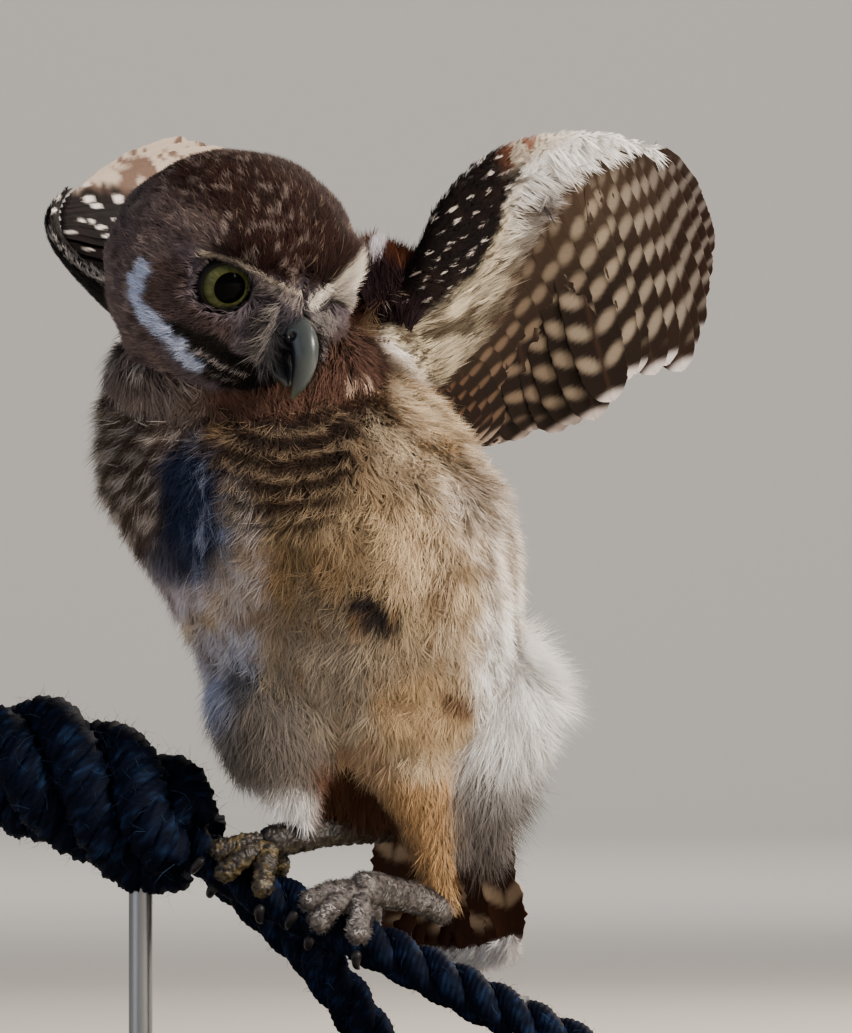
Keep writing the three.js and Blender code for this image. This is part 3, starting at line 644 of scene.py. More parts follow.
NAVY_PATCHES = (Patch(-37, 161, 8, 19, "#222b43", 1.0, 12),
                Patch(-40, 149, 9, 8, "#1d2740", 0.9, 20))
FRONT_PATCHES = (
    Patch(28, 150, 34, 46, "#cdbaa1", 0.9),
    Patch(-2, 148, 25, 36, "#a38a67", 0.85, 0, 0.5),
    Patch(26, 146, 18, 16, "#cdb492", 0.6, 20),
    Patch(-9, 140, 17, 14, "#513e28", 0.8, -15, 0.55),
    Patch(38, 166, 12, 16, "#d3c7ba", 0.8),
    Patch(22, 178, 16, 12, "#dcc8aa", 0.8),
    Patch(43, 140, 7, 22, "#e2dad2", 0.8),
    Patch(43, 116, 9, 20, "#f6f2ee", 1.0),
    Patch(13, 122, 17, 15, "#806c51", 0.7, 0, 0.5),
    Patch(-5, 115, 17, 20, "#8d8172", 0.85, 0, 0.5),
    Patch(20, 108, 12, 10, "#b99a70", 0.7),
    # Brown low on the torso between the legs: painted shade there.
    Patch(4, 95, 10, 6, "#8a6a50", 0.6),
    Patch(29, 111, 5.5, 2.2, "#5a3a28", 0.75, -35),
    Patch(-47, 170, 17, 30, "#6b584b", 0.95),
    Patch(-16, 177, 25, 20, "#37251b", 0.95, -8),
    Patch(-12, 187, 24, 8, "#311d15", 0.95),
    Patch(-25, 143, 5.5, 20, "#c2bab8", 0.85, 4, 0.7),
    Patch(-42, 140, 11, 9, "#c6bfc6", 0.95, 25),
    *NAVY_PATCHES,
    Patch(6.5, 134.5, 6.5, 4.6, "#17141a", 0.95, -25),
    Patch(12, 131, 3.5, 3.5, "#1c181a", 0.8),
    Patch(-30, 121, 9, 10, "#aeb4c8", 0.7, 20),
    Patch(-25, 115, 3.5, 5, "#3c3a40", 0.8, 20),
    Patch(7, 208, 7, 22, "#482a1f", 1.0),
    Patch(19, 203, 7, 10, "#f2ece6", 0.95, 20),
    Patch(9.5, 228, 3.4, 3.6, "#f0eae6", 0.95),
)


@dataclass(frozen=True)
class BodyMarkings:
    """Colours of neck, torso, vent and thighs."""

    back: str = "#4e3a2d"
    back_spot: str = "#cbb79a"
    collar: str = "#4f372d"
    nape: str = "#75655d"
    mottle: str = "#bbaea4"
    white: str = "#faf8f6"
    # Grey-brown of the far thigh's fluff, partly its own colour and partly painted shade.
    fluff: str = "#665d55"
    tibia: str = "#a8855d"
    # Rusty brown of the far tibia, darkened as painted shade between the legs.
    shaded_tibia: str = "#4f2f1c"
    bar_dark: str = "#21160f"
    bar_pale: str = "#7d6a54"
    collar_spot: str = "#c8aa96"

    def front(self, points: Array) -> Array:
        """Colour of the breast and belly."""
        colour = plain("#c9b596", len(points))
        ragged = noise(points, 4.5, 3) + 0.5 * noise(points, 1.8, 4)
        for patch in FRONT_PATCHES:
            colour = mix(colour, patch.colour, patch.weight(points, ragged))
        across = points[:, 0] + 1.5 * noise(points, 9, 5)
        height = points[:, 2] + 1.6 * noise(points, 8, 6)
        left = (1 - step(-38, -31, points[:, 0])) * step(142, 148, points[:, 2])
        middle = (step(-33, -28, points[:, 0]) * (1 - step(-2, 10, points[:, 0] + 3 * ragged))
                  * step(149, 156, points[:, 2]) * (1 - step(184, 189, points[:, 2])))
        navy = np.maximum(*(patch.weight(points, ragged) for patch in NAVY_PATCHES))
        barred = np.clip(left + middle, 0, 1) * (1 - navy)
        row = np.floor(height / 5.4)
        place = across / 7.0 + 0.5 * (row % 2)
        arc = 0.5 * (2 * (place - np.floor(place) - 0.5)) ** 2 * (1 - 0.75 * middle)
        arc = arc - 0.9 * middle * ((across + 14) / 16) ** 2
        scale = (height / 5.4 - row + arc) % 1
        pale = step(0.02, 0.12, scale) * (1 - step(0.28, 0.38, scale))
        tone = mix(self.bar_pale, "#bdb0a3", left)
        colour = mix(colour, tone, 0.9 * barred * pale)
        dark = step(0.38, 0.5, scale) * (1 - step(0.9, 1.0, scale))
        tone = mix(self.bar_dark, "#3d2e25", left)
        colour = mix(colour, tone, 0.85 * barred * dark)
        streak = step(0.2, 0.65, noise(points * np.array([1, 1, 0.6]), 3.2, 7))
        belly = (1 - step(44, 52, points[:, 0])) * (1 - np.clip(left + middle, 0, 1)) * (1 - navy)
        colour = mix(colour, "#8a6c4c", 0.5 * streak * belly)
        mottle = step(0.08, 0.4, noise(points * np.array([1, 1, 0.8]), 4.6, 9))
        colour = mix(colour, "#7f684d", 0.62 * mottle * belly * step(124, 132, points[:, 2]))
        strands = step(0.2, 0.6, noise(points * np.array([1, 1, 0.2]), 1.7, 8))
        return mix(colour, "#939ab2", 0.7 * strands * navy * step(-41, -35, points[:, 0]))

    def paint(self, region: Region, points: Array, normals: Array) -> Array:
        """Colours of one region.

        Args:
            region: The stretch of plumage.
            points: Places in millimetres.
            normals: Outward directions there.

        Returns:
            Linear colours, one row for each point.
        """
        ragged = noise(points, 4, 11)
        if region is Region.VENT:
            grey = step(-14, 6, 88 - points[:, 2] + 5 * ragged)
            colour = mix(self.white, "#4b3f38", 0.92 * grey)
            buff = 1 - step(24, 32, points[:, 0] + 2 * ragged)
            return mix(colour, "#bfa07a", 0.6 * buff)
        if region is Region.THIGH_LEFT:
            low = 1 - step(84, 104, points[:, 2] + 3 * ragged)
            colour = mix("#c3aa88", self.tibia, low)
            # The side that faces the other leg is painted darker: painted shade between the legs.
            edge = step(0.2, 0.9, -normals[:, 0])
            return mix(colour, "#8d7a68", 0.5 * edge)
        if region is Region.THIGH_RIGHT:
            # The far thigh's fluff is grey-brown, partly painted shade.
            colour = plain(self.fluff, len(points))
            colour = mix(colour, "#a7b0cb",
                         0.8 * (1 - step(-33, -24, points[:, 0])) * step(98, 112, points[:, 2]))
            colour = mix(colour, "#3a3a44",
                         Patch(-26, 116, 4, 6, "", 1, 20).weight(points, ragged) * 0.8)
            colour = mix(colour, "#f2eeec", 1 - step(84, 92, points[:, 2]))
            # Low between the legs the far tibia is painted dark rusty brown: its own colour
            # darkened as painted shade.
            shaded_tibia = step(-10, -3, points[:, 0]) * (1 - step(92, 100, points[:, 2]))
            return mix(colour, self.shaded_tibia, 0.95 * shaded_tibia)
        colour = self.front(points)
        if region is Region.NECK:
            brown = mix(self.collar, self.nape, 1 - step(-42, -28, points[:, 0]))
            mottled = step(0.1, 0.6, noise(points, 4.2, 12)) * (1 - step(-40, -30, points[:, 0]))
            brown = mix(brown, self.mottle, 0.75 * mottled)
            pale = Patch(3, 190, 2.4, 1.1, "", 0.8, 35).weight(points, ragged * 0.3)
            pale += Patch(7.5, 190.5, 1.3, 1.9, "", 0.7).weight(points, ragged * 0.3)
            colour = mix(brown, self.collar_spot, np.clip(pale, 0, 1))
        back = step(0.15, 0.6, normals[:, 1]) * step(96, 112, points[:, 2])
        mantle = plain(self.back, len(points))
        mantle = mix(mantle, "#74452c", 0.6 * step(0, 0.5, noise(points, 9, 13)))
        mantle = mix(mantle, self.back_spot, 0.85 * step(0.42, 0.6, noise(points, 5.5, 14)))
        return mix(colour, mantle, back)


@dataclass(frozen=True)
class HeadMarkings:
    """Colours of the head in its own frame."""

    crown: str = "#271511"
    crown_dark: str = "#170e0b"
    side: str = "#635553"
    face: str = "#5a5055"
    lores: str = "#39343a"
    dark: str = "#15110f"
    brow: str = "#bcaf9f"
    cheek: str = "#b9c3dd"

    def stripes(self) -> list[Stripe]:
        """Lines of the face in the order in which they cover one another."""
        made = []
        for side in (-1, 1):
            made += [
                Stripe(((10.6, 29.3 * side, 2), (10.4, 30.1 * side, -5), (16.4, 25.1 * side, -9),
                        (21, 18.3 * side, -11)), 4.6, "#3a2c27", 0.75),
                Stripe(((14, 26 * side, -12.4), (21.4, 16 * side, -15.0), (24.2, 5.6 * side, -18.6),
                        (26.9, 1 * side, -20.4)), 3.0, self.dark, 1.0),
                Stripe(((15, 21.5 * side, -17.4), (19, 13 * side, -20.4), (21.1, 8.2 * side, -22.4),
                        (25, 2 * side, -22.9)), 3.2, "#0d0a0a", 1.0),
                Stripe(((14, 25 * side, -11.6), (20.5, 16.5 * side, -13.4), (24, 8 * side, -16),
                        (26.5, 3 * side, -18.5)), 1.9, "#0f0c0b", 0.95),
                Stripe(((16.5, 23.4 * side, -15.2), (20.4, 15.4 * side, -17.4),
                        (23.4, 7 * side, -20.6)), 0.45, "#a8a09c", 0.7),
                Stripe(((15.4, 21 * side, -18.4), (18.6, 14 * side, -20.6),
                        (21, 8 * side, -23)), 0.4, "#8d8683", 0.6),
                Stripe(((2.9, 32.8 * side, 0), (2.9, 32.3 * side, -7.2), (10.0, 29.2 * side, -12.4),
                        (15.2, 23.6 * side, -16.7), (16, 18.5 * side, -20.5)), 2.3, self.cheek,
                       0.95, ragged=0.65),
            ]
        made += [
            Stripe(((14.6, -23.8, 8.4), (17.5, -20.5, 8.7), (21.6, -16.2, 8.7), (26.3, -10.4, 7.2),
                    (29.6, -3.8, 5), (30.4, 2.6, 3.1)), 0.8, self.brow, 0.8),
            Stripe(((26, -10.5, 5), (29, -5.5, 3), (30.5, -2.5, 1.5)), 1.5, "#857b76", 0.6),
            Stripe(((30.4, 2.6, 2.8), (28.3, 6.3, 5.5), (25.9, 10.9, 9.5), (21, 17, 12),
                    (15.9, 22.4, 12.5)), 1.8, "#d2c8bb", 0.95),
            Stripe(((24, 14, 8.5), (21, 18, 8), (17, 23, 7)), 3.2, "#cfc6ba", 0.95),
            Stripe(((28.5, 7.5, 1.5), (25.8, 11.5, 2.8), (23.8, 14.5, 2.6), (20, 20, 1)), 1.5,
                   "#16110f", 0.95),
            Stripe(((26, 14, 6.5), (22.5, 19, 4), (19.5, 23, 0.5)), 2.2, "#a89f96", 0.75),
            Stripe(((29.5, 4.5, -1.5), (27, 9, -3), (23, 16, -5)), 2.2, "#7d7672", 0.6),
        ]
        return made

    def paint(self, points: Array) -> Array:
        """Linear colours of points on the head."""
        local = HEAD.to_local(points)
        ragged = noise(points, 2.6, 21)
        forward, aside, up = local.T
        colour = plain(self.crown, len(points))
        colour = mix(colour, self.crown_dark, 0.55 * step(-0.1, 0.6, noise(points, 5, 22)))
        side = step(15, 26, np.abs(aside)) * (1 - step(14, 24, up)) * (1 - step(14, 22, forward))
        below = (1 - step(-16, -8, up)) * (1 - step(16, 24, forward))
        colour = mix(colour, self.side, 0.8 * np.clip(side + below, 0, 1))
        fleck = step(0.54, 0.72, noise(points * np.array([1.3, 1.3, 0.8]), 1.0, 23))
        colour = mix(colour, "#a8907c", 0.3 * fleck)
        grizzle = step(0.2, 0.6, noise(points, 1.9, 25)) * (1 - step(-8, 6, aside))
        colour = mix(colour, "#8a7a73", 0.55 * grizzle)
        colour = mix(colour, "#1d1311", 0.5 * step(0.1, 0.7, noise(points, 2.0, 24)))
        reach = np.linalg.norm(local - np.array([26, 0, -2]), axis=1)
        below_brow = 1 - step(4.5, 8.5, up - 0.14 * np.abs(aside) + 0.8 * ragged)
        face = step(6, 13, forward) * below_brow
        colour = mix(colour, self.face, face)
        grey = face * (1 - step(9, 19, reach + 2 * ragged))
        colour = mix(colour, self.lores, 0.75 * grey)
        bill = np.linalg.norm(local - np.array([31, 0, -9]), axis=1)
        colour = mix(colour, "#23242b", 0.8 * (1 - step(6, 10.5, bill)))
        for stripe in self.stripes():
            colour = mix(colour, stripe.colour, stripe.weight(local, ragged))
        ring = np.linalg.norm(points - HEAD.eye(OPEN_SIDE)[0], axis=1)
        return mix(colour, "#120f0e", 0.85 * (1 - step(8.8, 9.9, ring)))


@dataclass(frozen=True)
class WingMarkings:
    """Colours of the small feathers over the flesh of a wing."""

    lines: WingLines
    dark: str = "#120c0d"
    lining: str = "#cdc0a6"
    bright: str = "#f3efec"
    rufous: str = "#8a5a44"
    cream: str = "#d6c6b2"

    def place(self, points: Array) -> tuple[Array, Array]:
        """Share of the span and share of the way from leading edge to feather roots."""
        shares = np.linspace(0, 1, 60)
        lead = on_curve(self.lines.lead, shares)
        root = on_curve(self.lines.root, shares)
        best = np.full(len(points), 1e9)
        span, chord = np.zeros(len(points)), np.zeros(len(points))
        for share, low, high in zip(shares, lead, root):
            way = high - low
            at = np.clip((points - low) @ way / (way @ way), 0, 1)
            away = np.linalg.norm(points - low - at[:, None] * way, axis=1)
            closer = away < best
            best[closer], span[closer], chord[closer] = away[closer], share, at[closer]
        return span, chord

    def under(self, points: Array, normals: Array) -> tuple[Array, Array]:
        """Share of the underside, and of the dark band along the leading edge."""
        span, chord = self.place(points)
        facing = np.einsum("ij,ij->i", normals, self.lines.upper(span))
        line = (0.12 + 0.48 * step(0.0, 0.4, span)) * (1 - step(0.42, 0.72, span))
        band = 1 - step(line - 0.05, line + 0.05, chord + 0.04 * noise(points, 3, 31))
        return 1 - step(-0.25, 0.35, facing), band

    def paint(self, points: Array, normals: Array) -> Array:
        """Linear colours of points on the wing's flesh."""
        span, chord = self.place(points)
        if self.lines.side == -1:
            rim = (1 - step(0.0, 0.1, chord)) * (1 - step(0.6, 0.74, span))
            return mix(right_wing_colours(points), "#ece6e2", 0.85 * rim)
        ragged = noise(points, 3, 31)
        under, band = self.under(points, normals)
        width = np.linalg.norm(on_curve(self.lines.root, span) - on_curve(self.lines.lead, span),
                               axis=1)
        reach = span * path_length(on_curve(self.lines.lead, np.linspace(0, 1, 50)))
        dark = mix(self.dark, "#1e1311", step(-0.2, 0.6, ragged))
        lining = mix(self.lining, self.bright, step(0.45, 0.62, span) * 0.95)
        edge = step(0.78, 1.0, chord + 0.12 * ragged) * step(0.22, 0.35, span)
        lining = mix(lining, "#3d2d23", 0.85 * edge * (1 - step(0.62, 0.8, span)))
        blotch = step(0.0, 0.35, noise(points, 4.5, 36)) * (1 - step(0.3, 0.45, span))
        lining = mix(lining, "#33251a", 0.85 * blotch * step(0.3, 0.55, chord))
        spotted = spots(chord * width, reach, (4.6, 5.8), (0.5, 1.0), 32)
        dark = mix(dark, "#e8dcd4", spotted * (0.45 + 0.5 * step(0.12, 0.36, span)))
        place = np.column_stack([reach * 0.22, chord * width, span * 0])
        streak = step(0.25, 0.55, noise(place, 1.2, 33))
        lining = mix(lining, "#3c2c1e", 0.85 * streak * (1 - step(0.55, 0.75, span)))
        colour = mix(lining, dark, band)
        rim = (1 - step(0.01, 0.03, chord)) * step(0.3, 0.45, span) * (1 - step(0.6, 0.75, span))
        colour = mix(colour, "#e9e3e0", 0.6 * rim)
        top = (1 - step(0.1, 0.35, chord)) * step(0.5, 0.6, span) * (1 - step(0.8, 0.95, span))
        brown = mix(self.cream, self.rufous, step(-0.1, 0.3, ragged))
        colour = mix(dark, mix(colour, brown, top), np.clip(under + top, 0, 1))
        return mix(colour, self.bright, 0.9 * step(0.6, 0.8, span + 0.04 * ragged))


# White spots of the right wing's dark part: x, z, half width and half height in millimetres.
WING_SPOTS = ((-71.2, 239.7, 1.1, 0.8), (-71.8, 236.3, 0.7, 0.6), (-64.2, 243.1, 1.3, 0.8),
              (-63.6, 239.1, 1.1, 0.9), (-61.6, 237.4, 0.9, 0.7), (-56.2, 239.4, 1.4, 1.0),
              (-50.2, 241.4, 1.0, 0.8), (-62.7, 233.4, 0.8, 0.6), (-60.4, 232, 0.9, 0.6),
              (-65.5, 233.6, 0.7, 0.5), (-56.4, 234, 0.8, 0.6), (-67.8, 230.6, 0.8, 0.6),
              (-58.7, 229.8, 0.7, 0.6), (-53.5, 229, 0.8, 0.6), (-69.5, 227, 0.7, 0.5),
              (-63.5, 226.4, 0.8, 0.5), (-57, 224.5, 0.7, 0.5))


def right_wing_colours(points: Array) -> Array:
    """Colours of the right wing: cream and rufous on top, dark with white spots below."""
    ragged = noise(points, 3, 31)
    dark = mix("#0a0607", "#150d10", step(-0.2, 0.7, ragged))
    for x, z, half_x, half_z in WING_SPOTS:
        reach = np.hypot((points[:, 0] - x) / half_x, (points[:, 2] - z) / half_z)
        dark = mix(dark, "#e6ddd8", 0.95 * (1 - step(0.75, 1.3, reach + 0.2 * ragged)))
    rufous = step(0.05, 0.4, noise(points, 6, 34) + 0.45 * noise(points, 2.4, 37))
    cream = mix("#b9a898", "#52352a", 0.85 * rufous)
    high = step(240, 244, points[:, 2] + 1.5 * ragged) * step(-69, -66, points[:, 0])
    return mix(dark, cream, high)


def paint_right_wing(mesh: bpy.types.Mesh) -> None:
    """Paints the front side of the right wing's vanes and leaves the bars on their back."""
    count = len(mesh.vertices)
    normals, own = np.zeros(count * 3, np.float32), np.zeros(count * 4, np.float32)
    mesh.vertices.foreach_get("normal", normals)
    mesh.color_attributes[PAINT].data.foreach_get("color", own)
    front = 1 - step(-0.15, 0.15, normals.reshape(-1, 3)[:, 1].astype(float))
    paint(mesh, mix(own.reshape(-1, 4)[:, :3].astype(float),
                    right_wing_colours(vertices_of(mesh)), front))


def markings(region: Region, points: Array, normals: Array) -> Array:
    """Colours of any stretch of plumage.

    Args:
        region: The stretch of plumage.
        points: Places in millimetres.
        normals: Outward directions there.

    Returns:
        Linear colours, one row for each point.
    """
    if region is Region.HEAD:
        return HeadMarkings().paint(points)
    if region is Region.WING_LEFT:
        return WingMarkings(LEFT_WING).paint(points, normals)
    if region is Region.WING_RIGHT:
        return WingMarkings(RIGHT_WING).paint(points, normals)
    return BodyMarkings().paint(region, points, normals)


# Skin: one closed surface under the plumage


@dataclass(frozen=True)
class Surface:
    """Skin with what the coat needs to know of it."""

    points: Array
    faces: Array
    normals: Array
    regions: Array
    patch: Array
    piece: bpy.types.Object

    def patch_near(self, place: Array) -> tuple:
        """Place on the bake map of the nearest skin."""
        return tuple(self.patch[int(np.argmin(((self.points - place) ** 2).sum(axis=1)))])


def plain_mesh(piece: bpy.types.Object) -> tuple[Array, Array]:
    """Vertices in millimetres, without doubles, and triangles of an object."""
    places, inverse = np.unique(np.round(vertices_of(piece.data), 4), axis=0, return_inverse=True)
    faces = inverse.ravel()[triangles_of(piece.data)]
    first, second, third = faces.T
    return places, faces[(first != second) & (second != third) & (third != first)]


def vertex_normals(points: Array, faces: Array) -> Array:
    """Outward directions at vertices, from the faces about them."""
    first, second, third = (points[faces[:, k]] for k in range(3))
    cross = np.cross(second - first, third - first)
    total = np.zeros_like(points)
    for k in range(faces.shape[1]):
        np.add.at(total, faces[:, k], cross)
    return unit(total)


def wing_flesh(lines: WingLines, thinner: float) -> tuple[Array, Array]:
    """Flesh of a wing as vertices and faces.

    Args:
        lines: The wing's lines.
        thinner: How much less its half thickness is than in the solids, in millimetres.

    Returns:
        Vertices and triangles.
    """
    share = np.linspace(0, 1, 60)
    lead, root = on_curve(lines.lead, share), on_curve(lines.root, share)
    half = on_curve([(h, 0, 0) for h in lines.half], share)[:, 0] - thinner
    upper = unit(np.cross(tangent_on(lines.root, share), root - lead) * lines.side)
    points, faces = swept((lead + root) / 2, (lead - root) / 2, upper * half[:, None], 28)
    return points, outward(points, faces)


def outward(points: Array, faces: Array) -> Array:
    """A closed surface's faces, turned to look outward."""
    return faces[:, ::-1] if signed_volume(points, faces) < 0 else faces


def signed_volume(points: Array, faces: Array) -> float:
    """Six times the volume that faces enclose, negative if they look inward."""
    first, second, third = (points[faces[:, k]] for k in range(3))
    return float(np.einsum("ij,ij->", first, np.cross(second, third)))


@dataclass(frozen=True)
class Skin:
    """One seamless skin from the solids of the flesh, drawn in by the depth of the coat."""

    inflate: float = 0.7
    voxel: float = 1.2
    smoothing: int = 10
    wing_thinner: float = 1.4
    sources: tuple = (("head", Region.HEAD, 2.2), ("neck", Region.NECK, 3.4),
                      ("torso", Region.TORSO, 4.2), ("vent", Region.VENT, 6.0),
                      ("thigh_left", Region.THIGH_LEFT, 2.6),
                      ("thigh_right", Region.THIGH_RIGHT, 3.4))
    wing_depth: float = 0.6
    depth_blending: int = 14
    # Share of the markings' brightness that the skin keeps: painted shade under the coat.
    shade: float = 0.55

    def build(self, nodes: dict[str, bpy.types.Object]) -> Surface:
        """Joins, remeshes, draws in, unwraps and paints the skin.

        Args:
            nodes: The solids by name.

        Returns:
            The skin's surface and its object.
        """
        forms = []
        for name, region, _ in self.sources:
            own, corners = plain_mesh(nodes[name])
            forms.append((own + vertex_normals(own, corners) * self.inflate, corners, region))
        for lines, region in ((LEFT_WING, Region.WING_LEFT), (RIGHT_WING, Region.WING_RIGHT)):
            forms.append((*wing_flesh(lines, self.wing_thinner), region))
        forms.append((*self.closed_eye(HEAD.eye(-OPEN_SIDE)[0]), Region.HEAD))
        whole = np.vstack([own for own, _, _ in forms])
        shift = np.cumsum([0] + [len(own) for own, _, _ in forms[:-1]])
        all_faces = np.vstack([form[1] + offset for form, offset in zip(forms, shift)])
        face_labels = np.repeat([region.value for _, _, region in forms],
                                [len(corners) for _, corners, _ in forms])
        finder = BVHTree.FromPolygons([Vector(p) for p in whole], all_faces.tolist())
        piece = mesh_piece("skin", whole, all_faces)
        apply_modifier(piece, "REMESH", mode="VOXEL", voxel_size=self.voxel * MM)
        apply_modifier(piece, "SMOOTH", factor=0.5, iterations=self.smoothing)
        skin, corners = vertices_of(piece.data), triangles_of(piece.data)
        regions = np.array([face_labels[finder.find_nearest(Vector(p))[2]] for p in skin])
        depth = np.zeros(len(skin))
        for _, region, coat in self.sources:
            depth[regions == region.value] = coat + self.inflate
        depth[regions >= Region.WING_LEFT.value] = self.wing_depth
        depth = self.spread(depth, corners, self.depth_blending)
        for side in (1, -1):
            near = np.linalg.norm(skin - HEAD.eye(side)[0], axis=1)
            depth = depth * (0.3 + 0.7 * step(9.0, 14.0, near))
        skin = skin - vertex_normals(skin, corners) * (depth - self.brow_relief(skin))[:, None]
        for _ in range(3):
            skin = self.spread(skin, corners, 1)
        piece.data.vertices.foreach_set("co", (skin * MM).astype(np.float32).ravel())
        piece.data.update()
        normals = vertex_normals(skin, corners)
        patch = self.unwrap(piece, len(skin))
        colours = np.zeros((len(skin), 3))
        for region in Region:
            chosen = regions == region.value
            if chosen.any():
                colours[chosen] = markings(region, skin[chosen], normals[chosen])
        # The skin is painted with the markings darkened, as painted shade under the feathers.
        paint(piece.data, colours * self.shade)
        piece.data.polygons.foreach_set("use_smooth", np.ones(len(piece.data.polygons), bool))
        return Surface(skin, corners, normals, regions, patch, piece)

    def brow_relief(self, points: Array) -> Array:
        """Height of the brow ridges over the eyes, and depth of the hollow under them."""
        local, total = HEAD.to_local(points), np.zeros(len(points))
        near = np.linalg.norm(local, axis=1) < 40
        for side in (1, -1):
            ridge = Stripe(((13, 26 * side, 12), (18, 20.5 * side, 13.5),
                            (23, 14.5 * side, 11.5), (27.5, 8 * side, 8.5)), 3.6, "#ffffff")
            hollow = Stripe(((26.5, 9.5 * side, 1.5), (25.5, 10.5 * side, -4)), 3.2, "#ffffff")
            total += 1.5 * ridge.weight(local, total * 0) - 1.2 * hollow.weight(local, total * 0)
        return total * near

    def closed_eye(self, middle: Array) -> tuple[Array, Array]:
        """Low bulge of skin over the shut left eye."""
        bpy.ops.mesh.primitive_uv_sphere_add(segments=32, ring_count=20, radius=9.0 * MM,
                                             location=tuple(middle * MM))
        ball = settle(bpy.context.object)
        points, corners = plain_mesh(ball)
        bpy.data.objects.remove(ball)
        return points, corners

    def spread(self, values: Array, corners: Array, rounds: int) -> Array:
        """Evens out a value of each vertex with those of its neighbours."""
        ends = np.vstack([corners[:, [0, 1]], corners[:, [1, 2]], corners[:, [2, 0]]])
        ends = np.vstack([ends, ends[:, ::-1]])
        count = np.maximum(np.bincount(ends[:, 0], minlength=len(values)), 1)
        columns = values.reshape(len(values), -1)
        for _ in range(rounds):
            columns = np.stack([np.bincount(ends[:, 0], columns[ends[:, 1], k], len(values)) / count
                                for k in range(columns.shape[1])], axis=1)
        return columns.reshape(values.shape)

    def unwrap(self, piece: bpy.types.Object, count: int) -> Array:
        """Unwraps the skin by its own shape.

        Args:
            piece: The skin.
            count: Number of its vertices.

        Returns:
            One place on the map for each vertex.
        """
        piece.data.uv_layers.new(name=BAKE_MAP)
        active_only(piece)
        bpy.ops.object.mode_set(mode="EDIT")
        bpy.ops.mesh.select_all(action="SELECT")
        bpy.ops.uv.smart_project(angle_limit=math.radians(66), island_margin=0.003)
        bpy.ops.object.mode_set(mode="OBJECT")
        layer = piece.data.uv_layers[BAKE_MAP]
        flat = np.zeros(len(piece.data.loops) * 2, np.float32)
        layer.data.foreach_get("uv", flat)
        owner = np.zeros(len(piece.data.loops), np.int32)
        piece.data.loops.foreach_get("vertex_index", owner)
        patch = np.zeros((count, 2))
        patch[owner] = flat.reshape(-1, 2)
        return patch


# Coat: small feathers as fans of thin strips


@dataclass(frozen=True)
class TuftKind:
    """Size and softness of the small feathers on one stretch of plumage."""

    length: float
    spacing: float
    strips: int
    strip_width: float
    fan: float
    height: float
    length_spread: float = 0.3
    turn_spread: float = 0.22
    tone_spread: float = 0.16
    strip_tone: float = 0.12
    # Share of the colour kept at a feather's root: painted shade where the feathers overlap.
    painted_root_shade: float = 0.72
    tip_tone: float = 1.12
    fluff: float = 0.0
    wave: float = 0.0
    clump: float = 0.35


@dataclass(frozen=True)
class Roots:
    """Where small feathers grow: places, normals, lie directions and places on the skin's map."""

    places: Array
    normals: Array
    lie: Array
    patch: Array

    def kept(self, chosen: Array) -> "Roots":
        """The chosen ones of these roots."""
        return Roots(self.places[chosen], self.normals[chosen], self.lie[chosen],
                     self.patch[chosen])


def own_map(count: int) -> Array:
    """Places on a map of their own, one cell each, for tufts that don't grow from the skin."""
    side = math.ceil(math.sqrt(count))
    order = np.arange(count)
    return (np.stack([order % side, order // side], axis=1) + 0.5) / side


def scatter(surface: Surface, region: Region, spacing: float, lie: Field,
            rng: np.random.Generator) -> Roots:
    """Spreads roots evenly over one region of the skin.

    Args:
        surface: The skin.
        region: The stretch of plumage.
        spacing: Distance between neighbouring roots in millimetres.
        lie: Gives the direction in which feathers lie at places with normals.
        rng: Seeded source of random numbers.

    Returns:
        The roots.
    """
    faces = surface.faces[(surface.regions[surface.faces] == region.value).sum(axis=1) >= 2]
    first, second, third = (surface.points[faces[:, k]] for k in range(3))
    area = np.linalg.norm(np.cross(second - first, third - first), axis=1) / 2
    count = int(area.sum() / spacing ** 2 * 4)
    chosen = rng.choice(len(faces), count, p=area / area.sum())
    weight = rng.random((count, 2))
    weight = np.where(weight.sum(axis=1, keepdims=True) > 1, 1 - weight, weight)
    share = np.column_stack([1 - weight.sum(axis=1), weight])
    corners = faces[chosen]
    places = np.einsum("nk,nkj->nj", share, surface.points[corners])
    cells = np.floor(places / spacing).astype(np.int64)
    key = cells[:, 0] * 1000003 + cells[:, 1] * 10007 + cells[:, 2]
    _, kept = np.unique(key, return_index=True)
    places, share, corners = places[kept], share[kept], corners[kept]
    normals = unit(np.einsum("nk,nkj->nj", share, surface.normals[corners]))
    patch = surface.patch[corners[np.arange(len(kept)), share.argmax(axis=1)]]
    flow = lie(places, normals)
    flow = square_to(normals, flow)
    return Roots(places, normals, flow, patch)


